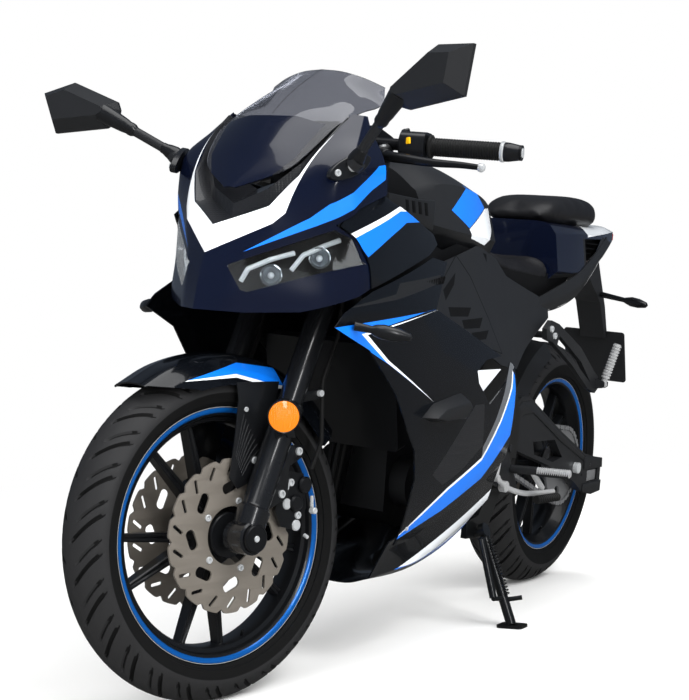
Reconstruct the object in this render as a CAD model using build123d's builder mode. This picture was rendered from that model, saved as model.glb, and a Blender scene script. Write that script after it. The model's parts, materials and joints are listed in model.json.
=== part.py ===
from build123d import *
import os
from math import atan, cos, degrees, radians, sin, sqrt

# A small faired sport motorcycle that leans on its side stand with its steering turned right.
# Every piece is drawn upright and straight ahead, in millimetres, and then set down as it parks:
# +X points forward, +Y to the rider's left, +Z up, and x is 0 at the rear axle.

# Driving sizes
WHEELBASE = 1380
RAKE = 25
TRAIL = 95
LEAN = 8.13
STEER_REST = -15.8
CENTRE_X = -627
CENTRE_Y = -132.9
WALL = 3
TOUCH = 0.3
RUNNING_FIT = 0.08
SIDE_CLEAR = 6

# Tyres: outer radius, half width of the tread, radius at its edge, radius at the bead, half rim width
FRONT_TYRE = (293, 53, 256, 226, 40)
REAR_TYRE = (314, 67, 268, 226, 52)
TREAD_STEPS = 4
FRONT_X = WHEELBASE
FRONT_Z = FRONT_TYRE[0]
REAR_X = 0
REAR_Z = REAR_TYRE[0]

# Steering axis, which meets the ground one trail ahead of the front axle
FORWARD = (cos(radians(RAKE)), 0, sin(radians(RAKE)))
STEER_UP = (-sin(radians(RAKE)), 0, cos(radians(RAKE)))
STEER_FOOT = (WHEELBASE + TRAIL, 0, 0)


def steer_plane(height):
    """A plane square to the steering axis where the axis is at this height above the ground."""
    along = height / STEER_UP[2]
    origin = Vector(STEER_FOOT) + Vector(STEER_UP) * along
    return Plane(origin=origin, x_dir=FORWARD, z_dir=STEER_UP)


FORK_OFFSET = (Vector(FRONT_X, 0, FRONT_Z) - Vector(STEER_FOOT)).dot(Vector(FORWARD))


def side_plane(y):
    """A plane seen from the left side: local x is X, local y is Z, and it faces the right side."""
    return Plane(origin=(0, y, 0), x_dir=(1, 0, 0), z_dir=(0, -1, 0))


def cross_plane(x):
    """A plane across the machine: local x is Y and local y is Z."""
    return Plane(origin=(x, 0, 0), x_dir=(0, 1, 0), z_dir=(1, 0, 0))


def plate(points, y_low, y_high, mode=Mode.ADD):
    """Extrudes a side view outline between two distances from the middle."""
    with BuildSketch(side_plane(y_high)) as outline:
        Polygon(*points, align=None)
    extrude(outline.sketch, amount=y_high - y_low, mode=mode)


def rod(start, end, radius, mode=Mode.ADD):
    """A round bar from one point to another."""
    run = Vector(end) - Vector(start)
    with BuildSketch(Plane(origin=start, z_dir=run)) as end_face:
        Circle(radius)
    extrude(end_face.sketch, amount=run.length, mode=mode)


def cross_loft(stations, mode=Mode.ADD):
    """A ruled loft through outlines given as (x, [(y, z), ...])."""
    sections = []
    for x, points in stations:
        with BuildSketch(cross_plane(x)) as section:
            Polygon(*points, align=None)
        sections.append(section.sketch)
    loft(sections, ruled=True, mode=mode)


def level_loft(levels, inset=0, mode=Mode.ADD):
    """A ruled loft through outlines given as (z, [(x, y), ...]), each inset by a distance."""
    sections = []
    for z, points in levels:
        with BuildSketch(Plane.XY.offset(z)) as section:
            Polygon(*points, align=None)
            if inset:
                offset(amount=-inset, kind=Kind.INTERSECTION)
        sections.append(section.sketch)
    loft(sections, ruled=True, mode=mode)


def both_sides(points):
    """Half an outline in (y, z), closed by its mirror image."""
    return list(points) + [(-y, z) for y, z in reversed(points) if y > 0]


def crown_radius(tyre):
    """Radius of the arc over the tread, from its width and its fall."""
    outer, half, edge, bead, rim = tyre
    fall = outer - edge
    return (half ** 2 + fall ** 2) / (2 * fall)


# How it stands: leaned about X, then pitched about Y until both tyres meet the floor

def lowest_point(centre, axis, tyre):
    """Height of the lowest point of a tyre whose axle points along axis."""
    crown = crown_radius(tyre)
    level = sqrt(1 - axis.Z ** 2)
    return centre.Z - (tyre[0] - crown) * level - crown


STEER = Pos(*STEER_FOOT) * Location((0, 0, 0), STEER_UP, STEER_REST) * Pos(-STEER_FOOT[0], 0, 0)


def tilt(pitch):
    """The lean and the pitch together."""
    return Rot(0, pitch, 0) * Rot(-LEAN, 0, 0)


def place_of(location, point):
    """A point carried by a location."""
    return (location * Pos(*point)).position


def wheel_heights(pitch):
    """Lowest points of the front and rear tyres at this pitch."""
    lean = tilt(pitch)
    rear_axis = place_of(lean, (0, 1, 0)) - place_of(lean, (0, 0, 0))
    turned = lean * STEER
    front_axis = place_of(turned, (0, 1, 0)) - place_of(turned, (0, 0, 0))
    front = lowest_point(place_of(turned, (FRONT_X, 0, FRONT_Z)), front_axis, FRONT_TYRE)
    rear = lowest_point(place_of(lean, (REAR_X, 0, REAR_Z)), rear_axis, REAR_TYRE)
    return front, rear


pitch = 0.0
for _ in range(6):
    front_low, rear_low = wheel_heights(pitch)
    pitch += degrees(atan((front_low - rear_low) / WHEELBASE))

PARK = Pos(CENTRE_X, CENTRE_Y, -wheel_heights(pitch)[1]) * tilt(pitch)
FLOOR = Plane(PARK.inverse())

os.makedirs("parts", exist_ok=True)


def save(piece, name, steered=False):
    """Sets a finished piece down as it parks and writes it as one node."""
    place = PARK * STEER if steered else PARK
    placed = piece.moved(place)
    placed.label = name
    export_step(placed, f"parts/{name}.step")


def save_pair(piece, name, steered=False):
    """Writes a left-hand piece and its mirror image as two nodes."""
    save(piece, name + "_left", steered)
    save(mirror(piece, about=Plane.XZ), name + "_right", steered)


# Wheels

AXLE_R = 8.5
HUB_R = 40
RIM_SEAT_R = 217
RIM_FACE_R = RIM_SEAT_R - 2
RIM_INNER_R = RIM_SEAT_R - 12
RIM_WELL_R = RIM_SEAT_R - 20
SPOKE_TIP_R = RIM_SEAT_R - 17
SPOKE_PAIRS = 5
SPOKE_HALF = 12
SPOKE_ROOT_R = 62
SPOKE_ANGLE = 62
SPOKE_WIDTH = 15


def tyre_ring(x, tyre):
    """A tyre: a round tread, bulged side walls and a flat seat on the rim."""
    outer, half, edge, bead, rim = tyre
    crown = crown_radius(tyre)
    tread = []
    for step in range(-TREAD_STEPS, TREAD_STEPS + 1):
        y = half * step / TREAD_STEPS
        tread.append((y, outer - crown + sqrt(crown ** 2 - y ** 2)))
    with BuildPart() as ring:
        with BuildSketch(Plane(origin=(x, 0, outer), x_dir=(0, 1, 0), z_dir=(1, 0, 0))):
            with BuildLine():
                Polyline(*tread)
                Line((half, edge), (half + 1, (edge + bead) / 2 + 2))
                Line((half + 1, (edge + bead) / 2 + 2), (rim + 3, bead))
                Line((rim + 3, bead), (rim - 7, bead))
                Line((rim - 7, bead), (rim - 7, RIM_SEAT_R + TOUCH))
                Line((rim - 7, RIM_SEAT_R + TOUCH), (7 - rim, RIM_SEAT_R + TOUCH))
                Line((7 - rim, RIM_SEAT_R + TOUCH), (7 - rim, bead))
                Line((7 - rim, bead), (-rim - 3, bead))
                Line((-rim - 3, bead), (-half - 1, (edge + bead) / 2 + 2))
                Line((-half - 1, (edge + bead) / 2 + 2), (-half, edge))
            make_face()
        revolve(axis=Axis((x, 0, outer), (0, 1, 0)))
    return ring.part


def rim_and_spokes(x, tyre, hub_half, hub_bore):
    """A cast wheel: a barrel with edged flanges, five pairs of spokes and a bored hub."""
    outer, half, edge, bead, rim = tyre
    lip = rim - 7 + TOUCH
    axle = Axis((x, 0, outer), (0, 1, 0))
    with BuildPart() as wheel:
        with BuildSketch(Plane(origin=(x, 0, outer), x_dir=(0, 1, 0), z_dir=(1, 0, 0))):
            side = [(rim, RIM_FACE_R), (rim, bead - TOUCH), (lip, bead - TOUCH), (lip, RIM_SEAT_R)]
            inner = [(rim - 14, RIM_INNER_R), (16, RIM_WELL_R)]
            mirrored = [(-y, r) for y, r in reversed(side)]
            mirrored_inner = [(-y, r) for y, r in inner]
            Polygon(*(side + mirrored + mirrored_inner + list(reversed(inner))), align=None)
        revolve(axis=axle)
        with BuildSketch(Plane(origin=(x, SPOKE_HALF, outer), x_dir=(1, 0, 0), z_dir=(0, -1, 0))):
            with PolarLocations(0, SPOKE_PAIRS, start_angle=SPOKE_ANGLE):
                Polygon((34, -11), (74, -13), (74, 13), (34, 11), align=None)
                for turn in (-1, 1):
                    root = [(SPOKE_ROOT_R, turn * -7), (SPOKE_TIP_R, turn * 40)]
                    tip = [(SPOKE_TIP_R, turn * (40 + SPOKE_WIDTH)), (SPOKE_ROOT_R, turn * (SPOKE_WIDTH - 7))]
                    Polygon(*(root + tip), align=None)
        extrude(amount=2 * SPOKE_HALF)
        with BuildSketch(Plane(origin=(x, hub_half, outer), x_dir=(1, 0, 0), z_dir=(0, -1, 0))):
            Circle(HUB_R)
        extrude(amount=2 * hub_half)
        with BuildSketch(Plane(origin=(x, hub_half, outer), x_dir=(1, 0, 0), z_dir=(0, -1, 0))):
            Circle(hub_bore)
        extrude(amount=2 * hub_half, mode=Mode.SUBTRACT)
    return wheel.part


# Wave brake discs: outer radius, inner radius, thickness, place along the axle, windows
DISC_R = 135
DISC_T = 4.5
WAVES = 18
WINDOWS = 9
DISC_BOLTS = 5


def wave_disc(x, z, y_face, radius, bore):
    """A wave disc whose outer face is at y_face, with windows, slots and lobes."""
    with BuildPart() as disc:
        with BuildSketch(Plane(origin=(x, y_face, z), x_dir=(1, 0, 0), z_dir=(0, -1, 0))):
            Circle(radius - 6)
            with PolarLocations(radius - 16, WAVES):
                Circle(16)
            Circle(bore, mode=Mode.SUBTRACT)
            with PolarLocations(radius * 0.6, WINDOWS):
                RectangleRounded(radius * 0.19, radius * 0.23, 7, mode=Mode.SUBTRACT)
            with PolarLocations(radius * 0.84, WAVES, start_angle=8):
                SlotOverall(22, 5, rotation=35, mode=Mode.SUBTRACT)
        extrude(amount=DISC_T)
    return disc.part


FRONT_HUB_HALF = 55
REAR_HUB_HALF = 48
DISC_SEAT_R = 62
HUB_BORE = AXLE_R + RUNNING_FIT
FRONT_DISC_FACE = FRONT_HUB_HALF + TOUCH + DISC_T

save(tyre_ring(FRONT_X, FRONT_TYRE), "front_tyre", True)
save(rim_and_spokes(FRONT_X, FRONT_TYRE, FRONT_HUB_HALF, HUB_BORE), "front_rim", True)
with BuildPart() as front_discs:
    add(wave_disc(FRONT_X, FRONT_Z, FRONT_DISC_FACE, DISC_R, 30))
    add(wave_disc(FRONT_X, FRONT_Z, DISC_T - FRONT_DISC_FACE, DISC_R, 30))
save(front_discs.part, "front_discs", True)

save(tyre_ring(REAR_X, REAR_TYRE), "rear_tyre")
save(rim_and_spokes(REAR_X, REAR_TYRE, REAR_HUB_HALF, HUB_BORE), "rear_rim")

CHAIN_Y = 83
CHAIN_WIDTH = 14
REAR_DISC_FACE = -REAR_HUB_HALF - TOUCH
save(wave_disc(REAR_X, REAR_Z, REAR_DISC_FACE, 110, 30), "rear_disc")

SPROCKET_R = 98
SPROCKET_T = 6
with BuildPart() as rear_sprocket:
    with BuildSketch(side_plane(CHAIN_Y + SPROCKET_T / 2)), Locations((REAR_X, REAR_Z)):
        Circle(SPROCKET_R)
        Circle(30, mode=Mode.SUBTRACT)
        with PolarLocations(70, 5):
            Circle(16, mode=Mode.SUBTRACT)
    extrude(amount=SPROCKET_T)
    with BuildSketch(Plane(origin=(REAR_X, CHAIN_Y, REAR_Z), x_dir=(1, 0, 0), z_dir=(0, -1, 0))):
        Circle(48)
        Circle(HUB_BORE, mode=Mode.SUBTRACT)
    extrude(amount=CHAIN_Y - REAR_HUB_HALF - TOUCH)
save(rear_sprocket.part, "rear_sprocket")

# Axles with their spacers
FORK_Y = 97
FORK_R = 27
TUBE_R = 23
SLIDER_TOP = 520

with BuildPart() as front_axle:
    rod((FRONT_X, -FORK_Y - 31, FRONT_Z), (FRONT_X, FORK_Y + 31, FRONT_Z), AXLE_R)
    for side in (-1, 1):
        start = side * (FRONT_HUB_HALF + 1)
        rod((FRONT_X, start, FRONT_Z), (FRONT_X, side * (FORK_Y - FORK_R - TOUCH), FRONT_Z), 14)
        rod((FRONT_X, side * (FORK_Y + 25 + TOUCH), FRONT_Z), (FRONT_X, side * (FORK_Y + 31), FRONT_Z), 15)
save(front_axle.part, "front_axle", True)

ARM_INNER = 97
ARM_OUTER = 121
with BuildPart() as rear_axle:
    rod((REAR_X, -ARM_OUTER - 12, REAR_Z), (REAR_X, ARM_OUTER + 12, REAR_Z), AXLE_R)
    rod((REAR_X, ARM_OUTER + TOUCH, REAR_Z), (REAR_X, ARM_OUTER + 12, REAR_Z), 14)
    rod((REAR_X, -ARM_OUTER - TOUCH, REAR_Z), (REAR_X, -ARM_OUTER - 12, REAR_Z), 14)
    rod((REAR_X, CHAIN_Y + 4, REAR_Z), (REAR_X, ARM_INNER - TOUCH, REAR_Z), 14)
    rod((REAR_X, -REAR_HUB_HALF - 1, REAR_Z), (REAR_X, TOUCH - ARM_INNER, REAR_Z), 14)
save(rear_axle.part, "rear_axle")

# Fork, yokes and bars


def at_front(points):
    """Side view points whose x is a distance from the front axle."""
    return [(FRONT_X + x, z) for x, z in points]


def fork_point(height, side=0):
    """A point on a fork leg's centre line where it is at this height."""
    run = (height - FRONT_Z) / STEER_UP[2]
    return (FRONT_X + run * STEER_UP[0], side * FORK_Y, height)


LOWER_YOKE = 730
UPPER_YOKE = 940
TUBE_TOP = UPPER_YOKE + 68
YOKE_T = 24

with BuildPart() as fork_sliders:
    for side in (-1, 1):
        rod(fork_point(FRONT_Z, side), fork_point(SLIDER_TOP, side), 25)
        rod(fork_point(SLIDER_TOP - 18, side), fork_point(SLIDER_TOP, side), FORK_R)
        rod((FRONT_X, side * (FORK_Y - FORK_R), FRONT_Z), (FRONT_X, side * (FORK_Y + 25), FRONT_Z), 29)
        lug = at_front([(-62, 452), (-84, 462), (-118, 408), (-112, 352), (-58, 330), (-34, 345)])
        plate(lug, *sorted((side * 74, side * 84)))
        rod((FRONT_X, side * 60, FRONT_Z), (FRONT_X, side * 130, FRONT_Z), AXLE_R + TOUCH, Mode.SUBTRACT)
save(fork_sliders.part, "fork_sliders", True)

with BuildPart() as fork_tubes:
    for side in (-1, 1):
        rod(fork_point(SLIDER_TOP + 0.5, side), fork_point(TUBE_TOP, side), TUBE_R)
        rod(fork_point(TUBE_TOP, side), fork_point(TUBE_TOP + 9, side), 15)
save(fork_tubes.part, "fork_tubes", True)

STEM_R = 16
HEAD_LOW = LOWER_YOKE + 32
HEAD_HIGH = UPPER_YOKE - 15
with BuildPart() as fork_yokes:
    for height in (LOWER_YOKE, UPPER_YOKE):
        with BuildSketch(steer_plane(height)) as outline:
            with Locations((FORK_OFFSET, FORK_Y), (FORK_OFFSET, -FORK_Y), (0, 0)):
                Circle(34)
            make_hull()
            with Locations((FORK_OFFSET, FORK_Y), (FORK_OFFSET, -FORK_Y)):
                Circle(TUBE_R + TOUCH, mode=Mode.SUBTRACT)
        extrude(amount=YOKE_T)
    with BuildSketch(steer_plane(LOWER_YOKE + 5)):
        Circle(STEM_R)
    extrude(amount=(UPPER_YOKE - LOWER_YOKE) / STEER_UP[2])
save(fork_yokes.part, "fork_yokes", True)

# Clip-on bars: the clamp sits round the fork tube, and the bar runs out, back and down
CLIP_LOW = UPPER_YOKE + 38
BAR_ROOT = (FRONT_X - 298, 116, CLIP_LOW + 25)
BAR_END = (FRONT_X - 412, 352, CLIP_LOW - 8)
BAR_R = 11
GRIP_R = 17


def along_bar(share, side=1):
    """A point on the bar, 0 at its root and 1 at its end."""
    x, y, z = Vector(BAR_ROOT) + (Vector(BAR_END) - Vector(BAR_ROOT)) * share
    return (x, side * y, z)


with BuildPart() as handlebars:
    for side in (-1, 1):
        with BuildSketch(steer_plane(CLIP_LOW)):
            with Locations((FORK_OFFSET, side * FORK_Y)):
                Circle(33)
            with Locations((FORK_OFFSET + 27, side * (FORK_Y + 14))):
                Circle(17)
            make_hull()
            with Locations((FORK_OFFSET, side * FORK_Y)):
                Circle(TUBE_R + TOUCH, mode=Mode.SUBTRACT)
        extrude(amount=26)
        rod(along_bar(0.0, side), along_bar(0.98, side), BAR_R)
        rod(along_bar(0.95, side), along_bar(0.98, side), 17)
        rod(along_bar(0.98, side), along_bar(1.09, side), 14)
        with BuildSketch(steer_plane(CLIP_LOW)):
            with Locations((FORK_OFFSET, side * FORK_Y)):
                Circle(TUBE_R + TOUCH)
        extrude(amount=60, mode=Mode.SUBTRACT)
save(handlebars.part, "handlebars", True)

with BuildPart() as grips:
    for side in (-1, 1):
        rod(along_bar(0.44, side), along_bar(0.94, side), GRIP_R)
        rod(along_bar(0.43, side), along_bar(0.45, side), GRIP_R + 5)
        rod(along_bar(0.2, side), along_bar(0.96, side), BAR_R + TOUCH / 3, Mode.SUBTRACT)
save(grips.part, "grips", True)

with BuildPart() as switch_housings:
    for side in (-1, 1):
        run = Vector(along_bar(0.41, side)) - Vector(along_bar(0.2, side))
        with BuildSketch(Plane(origin=along_bar(0.24, side), x_dir=(1, 0, 0), z_dir=run)):
            RectangleRounded(58, 50, 16)
            Circle(BAR_R + TOUCH / 3, mode=Mode.SUBTRACT)
        extrude(amount=run.length * 0.84)
save(switch_housings.part, "switch_housings", True)

LEVER_R = 7.5
LEVER_BEND = 34
# Ahead of the bar's root, from the middle, below the bar's root
LEVER_ROUTE = [(8, 143, 25), (24, 186, 39), (-10, 262, 53), (-52, 346, 49)]
LEVER_TIP = (-60, 362, 48)
LEVER_PERCH = [(-6, 150, 16), (14, 142, 31)]


def from_bar(offset, side):
    """A point given ahead of, beside and below the bar's root."""
    ahead, y, below = offset
    return (BAR_ROOT[0] + ahead, side * y, BAR_ROOT[2] - below)


with BuildPart() as levers:
    for side in (-1, 1):
        route = [from_bar(offset, side) for offset in LEVER_ROUTE]
        with BuildLine():
            FilletPolyline(*route, radius=LEVER_BEND)
        with BuildSketch(Plane(origin=route[0], z_dir=Vector(route[1]) - Vector(route[0]))):
            Circle(LEVER_R)
        sweep()
        rod(route[-1], from_bar(LEVER_TIP, side), LEVER_R + 2.5)
        rod(from_bar(LEVER_PERCH[0], side), from_bar(LEVER_PERCH[1], side), 12)
        rod(along_bar(0.0, side), along_bar(0.9, side), BAR_R + TOUCH, Mode.SUBTRACT)
save(levers.part, "levers", True)

# Front fender: an arched shell round the tyre with two ribbed arms that reach down inside the fork
FENDER_R = 322
FENDER_START = 57
FENDER_END = 146
FENDER_SIDE = 69
ARM_Y = 66
ARM_T = 3.5
FENDER_TOP = [(0, FENDER_R), (42, FENDER_R - 8), (64, FENDER_R - 34), (FENDER_SIDE, 262)]

with BuildPart() as fender_arch:
    with BuildSketch(cross_plane(FRONT_X)):
        outer = [(y, FRONT_Z + r) for y, r in FENDER_TOP]
        inner = [(max(0, y - WALL), FRONT_Z + r - WALL) for y, r in FENDER_TOP]
        half = outer + list(reversed(inner))
        Polygon(*half, align=None)
        mirror(about=Plane.YZ)
    revolve(axis=Axis((FRONT_X, 0, FRONT_Z), (0, 1, 0)), revolution_arc=FENDER_END - FENDER_START)
fender_ring = fender_arch.part.rotate(Axis((FRONT_X, 0, FRONT_Z), (0, 1, 0)), -(FENDER_END - 90))
with BuildPart() as front_fender:
    add(fender_ring)
    slope = at_front([(220, 545), (165, 556), (82, 548), (20, 520), (20, 440), (220, 440)])
    plate(slope, -100, 100, Mode.SUBTRACT)
    arm = at_front([(25, 560), (22, 500), (4, 396), (-27, 388), (-58, 404), (-90, 470), (-106, 560)])
    for side in (-1, 1):
        plate(arm, *sorted((side * (ARM_Y), side * (ARM_Y + ARM_T))))
save(front_fender.part, "front_fender", True)

with BuildPart() as reflectors:
    for side in (-1, 1):
        rod((FRONT_X - 62, side * 128, 500), (FRONT_X - 55, side * 140, 500), 28)
        strip = at_front([(-96, 462), (-78, 462), (-40, 500), (-60, 514)])
        plate(strip, *sorted((side * (FORK_Y + 25 + TOUCH), side * 128)))
save(reflectors.part, "reflectors", True)

# Front calipers straddle the discs behind the fork
with BuildPart() as front_calipers:
    for side in (-1, 1):
        body = at_front([(-90, 330), (-118, 400), (-160, 392), (-166, 330), (-140, 292), (-104, 300)])
        plate(body, *sorted((side * 30, side * 73.5)))
        slot = at_front([(-80, 280), (-80, 420), (-154, 420), (-154, 280)])
        low = FRONT_HUB_HALF + TOUCH - SIDE_CLEAR
        high = FRONT_DISC_FACE + SIDE_CLEAR
        plate(slot, *sorted((side * low, side * high)), Mode.SUBTRACT)
save(front_calipers.part, "front_calipers", True)

HOSE_R = 4
with BuildPart() as brake_hoses:
    for side in (-1, 1):
        points = [(-231.7, 107.5, 730), (-212, 112, 640), (-172, 112, 560), (-172, 108, 450), (-158, 96, 402)]
        route = [(FRONT_X + x, side * y, z) for x, y, z in points]
        with BuildLine():
            FilletPolyline(*route, radius=40)
        with BuildSketch(Plane(origin=route[0], z_dir=Vector(route[1]) - Vector(route[0]))):
            Circle(HOSE_R)
        sweep()
save(brake_hoses.part, "brake_hoses", True)

# Side stand pivot and the way it turns: square to the leg, nearly across the machine
STAND_PIVOT = (588, 152, 226)
STAND_FOOT = (606, 250, 34)
STAND_R = 11
STAND_RUN = Vector(STAND_FOOT) - Vector(STAND_PIVOT)
STAND_DOWN = STAND_RUN.normalized()
STAND_AXIS = (Vector(0, 1, 0) - STAND_DOWN * STAND_DOWN.Y).normalized()


def along_stand(distance):
    """A point on the stand's pivot axis."""
    return tuple(Vector(STAND_PIVOT) + STAND_AXIS * distance)


# Frame, engine and what hangs on them

FRONT_SPROCKET = (525, 432)
FRONT_SPROCKET_R = 36
CHAIN_H = 9

SPAR = [
    # x, inner y, outer y, low z, high z
    (FRONT_X - 370, 26, 50, HEAD_LOW + 13, HEAD_HIGH - 65),
    (930, 70, 98, 730, 815),
    (700, 92, 118, 600, 740),
    (480, 123.5, 136, 380, 600),
    (410, 123.5, 136, 372, 480),
]

with BuildPart() as frame:
    with BuildSketch(steer_plane(HEAD_LOW)):
        Circle(30)
    extrude(amount=(HEAD_HIGH - HEAD_LOW) / STEER_UP[2])
    plate(at_front([(-290, 800), (-318, 862), (-380, 862), (-380, 775), (-320, 775)]), -48, 48)
    for side in (-1, 1):
        stations = []
        for x, inner, outer, low, high in SPAR:
            corners = [(inner, low), (outer, low), (outer, high), (inner, high)]
            stations.append((x, [(side * y, z) for y, z in corners]))
        cross_loft(stations)
        rod((640, side * 104, 700), (250, side * 84, 772), 12)
        rod((250, side * 84, 772), (-150, side * 44, 842), 12)
        rod((470, side * 104, 560), (250, side * 84, 772), 11)
        with Locations((250, side * 84, 772)):
            Sphere(12)
    plate([(486, 385), (430, 376), (545, 205), (640, 212), (640, 250), (585, 258)], 123.5, 136)
    rod(along_stand(-20), along_stand(-5), 10)
    rod((440, -130, 430), (440, 130, 430), 12)
    rod((560, -104, 660), (560, 104, 660), 12)
    rod((250, -84, 772), (250, 84, 772), 10)
    rod((-150, -44, 842), (-150, 44, 842), 10)


# Nose cowl: level outlines from the chin to the screen, left half in (x, y) from nose to rear
COWL_LEVELS = [
    (690, [(1490, 0), (1464, 42), (1352, 160), (1300, 202), (1150, 212)]),
    (725, [(1484, 0), (1462, 42), (1350, 160), (1290, 203), (1150, 214)]),
    (770, [(1474, 0), (1454, 46), (1345, 160), (1285, 204), (1150, 212)]),
    (840, [(1450, 0), (1412, 88), (1334, 170), (1298, 194), (1150, 202)]),
    (900, [(1415, 0), (1388, 102), (1345, 166), (1312, 188), (1150, 198)]),
    (958, [(1372, 0), (1350, 115), (1333, 165), (1312, 184), (1150, 194)]),
    (1010, [(1325, 0), (1300, 125), (1285, 145), (1262, 162), (1150, 172)]),
    (1050, [(1285, 0), (1250, 125), (1240, 135), (1225, 145), (1150, 150)]),
]


def full_level(points):
    """A level outline closed by its right half."""
    return list(points) + [(x, -y) for x, y in reversed(points) if y > 0]


LEVELS = [(z, full_level(points)) for z, points in COWL_LEVELS]
# The fairing stay runs forward between the fork legs and carries the dash, the nose and the mirrors
with BuildPart() as fairing_stay:
    for side in (-1, 1):
        rod((1251, side * 16, 900), (1330, side * 215, 950), 8)
    level_loft(LEVELS, WALL + TOUCH, Mode.INTERSECT)
    plate([(1080, 848), (1262, 848), (1262, 949.7), (1240, 966.9), (1240, 872), (1080, 872)], -22, 22)

with BuildPart() as frame_and_stay:
    add(frame.part)
    add(fairing_stay.part)
    with BuildSketch(steer_plane(HEAD_LOW - 10)):
        Circle(STEM_R + RUNNING_FIT)
    extrude(amount=(HEAD_HIGH - HEAD_LOW + 40) / STEER_UP[2], mode=Mode.SUBTRACT)
save(frame_and_stay.part, "frame")

with BuildPart() as engine:
    crankcase = [(600, 290), (520, 400), (530, 470), (640, 520), (800, 520), (905, 420), (900, 290),
                 (840, 252), (640, 252)]
    plate(crankcase, -70, 70)
    plate([(760, 518), (700, 690), (800, 716), (880, 540), (860, 500)], -62, 62)
    rod((700, -118, 360), (700, 118, 360), 78)
    rod((835, -108, 350), (835, 108, 350), 52)
    sprocket_x, sprocket_z = FRONT_SPROCKET
    rod((sprocket_x, 60, sprocket_z), (sprocket_x, 88, sprocket_z), FRONT_SPROCKET_R - 1)
    plate([(640, 300), (640, 450), (560, 482), (500, 470), (466, 430), (480, 372), (560, 320)], 101, 109)
save(engine.part, "engine")

with BuildPart() as radiator:
    with BuildSketch(Plane(origin=(1000, 0, 540), x_dir=(0, 1, 0), z_dir=(0.97, 0, -0.24))):
        RectangleRounded(300, 210, 10)
    extrude(amount=30)
    for side in (-1, 1):
        rod((884.3, side * 58, 440.3), (1011.2, side * 58, 573.5), 8)
save(radiator.part, "radiator")

MUFFLER_Y = -190
PIPE_R = 19
PIPE_ROUTE = [(862.6, 0, 580.2), (903.5, 0, 598.8), (940, 0, 500), (934, -34, 300), (872, -84, 206),
              (731, -99, 241), (600, -112, 265), (450, -122, 264), (262, MUFFLER_Y, 321)]
PIPE_BEND = 38
MUFFLER_WAY = (-0.93, 0, 0.36)
MUFFLER_STATIONS = [
    # x, z, half width, half height
    (270, 318, 29, 28),
    (220, 337, 62, 46),
    (-120, 469, 60, 44),
    (-160, 484, 35, 30),
]
with BuildPart() as exhaust:
    for x, z, half_wide, half_high in MUFFLER_STATIONS:
        with BuildSketch(Plane(origin=(x, MUFFLER_Y, z), z_dir=MUFFLER_WAY)):
            Ellipse(half_wide, half_high)
    loft(ruled=True)
    with BuildLine() as pipe_line:
        FilletPolyline(*PIPE_ROUTE, radius=PIPE_BEND)
    first_run = Vector(PIPE_ROUTE[1]) - Vector(PIPE_ROUTE[0])
    with BuildSketch(Plane(origin=PIPE_ROUTE[0], z_dir=first_run)) as pipe_end:
        Circle(PIPE_R)
    sweep(pipe_end.sketch, path=pipe_line.line)
save(exhaust.part, "exhaust")

# Swingarm with a truss opening in each arm, on the pivot pin
ARM_OUTLINE = [(455, 405), (455, 458), (375, 512), (330, 512), (120, 418), (-65, 345), (-150, 330),
               (-186, 326), (-190, 236), (-125, 232), (-65, 246), (60, 305), (200, 340)]
ARM_WINDOW = [(285, 400), (150, 396), (92, 348), (150, 340), (270, 368)]
# Threaded hole for a paddock stand: x, outer face, z, radius, depth
STAND_HOLE = (-52, 121, 290, 4, 16)
AXLE_SLOT = [(-165, 300), (-95, 300), (-95, 268), (-165, 268)]

with BuildPart() as swingarm:
    for side in (-1, 1):
        plate(ARM_OUTLINE, *sorted((side * ARM_INNER, side * ARM_OUTER)))
        plate(ARM_WINDOW, *sorted((side * 90, side * 130)), Mode.SUBTRACT)
        plate(AXLE_SLOT, *sorted((side * 90, side * 130)), Mode.SUBTRACT)
    plate([(440, 420), (400, 500), (345, 500), (345, 440)], -ARM_INNER - 1, 70)
    rod((REAR_X, -140, REAR_Z), (REAR_X, 140, REAR_Z), AXLE_R + TOUCH, Mode.SUBTRACT)
    rod((440, -98, 430), (440, 98, 430), 19)
    rod((440, -130, 430), (440, 130, 430), 12 + TOUCH, Mode.SUBTRACT)
    for side in (-1, 1):
        x, face, z, radius, depth = STAND_HOLE
        rod((x, side * (face - depth), z), (x, side * face, z), radius, Mode.SUBTRACT)
save(swingarm.part, "swingarm")

# Drive chain as one fixed loop
with BuildPart() as chain:
    with BuildSketch(side_plane(CHAIN_Y + CHAIN_WIDTH / 2)):
        with Locations((REAR_X, REAR_Z)):
            Circle(SPROCKET_R + CHAIN_H + 2)
        with Locations(FRONT_SPROCKET):
            Circle(FRONT_SPROCKET_R + CHAIN_H)
        make_hull()
    extrude(amount=CHAIN_WIDTH)
    with BuildSketch(side_plane(CHAIN_Y + CHAIN_WIDTH / 2)):
        with Locations((REAR_X, REAR_Z)):
            Circle(SPROCKET_R + 2)
        with Locations(FRONT_SPROCKET):
            Circle(FRONT_SPROCKET_R)
        make_hull()
    extrude(amount=CHAIN_WIDTH, mode=Mode.SUBTRACT)
save(chain.part, "chain")

with BuildPart() as hugger:
    with BuildSketch(cross_plane(REAR_X)):
        outer = [(0, 345), (58, 338), (74, 300)]
        section = outer + [(71, 298), (56, 335), (0, 342)]
        Polygon(*[(y, REAR_Z + r) for y, r in section], align=None)
        mirror(about=Plane.YZ)
    revolve(axis=Axis((REAR_X, 0, REAR_Z), (0, 1, 0)), revolution_arc=46)
with BuildPart() as hugger_unit:
    add(hugger.part.rotate(Axis((REAR_X, 0, REAR_Z), (0, 1, 0)), 20))
    for side in (-1, 1):
        rod((292, side * 59, 470), (292, side * (ARM_INNER - TOUCH), 470), 5)
save(hugger_unit.part, "hugger")

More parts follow.
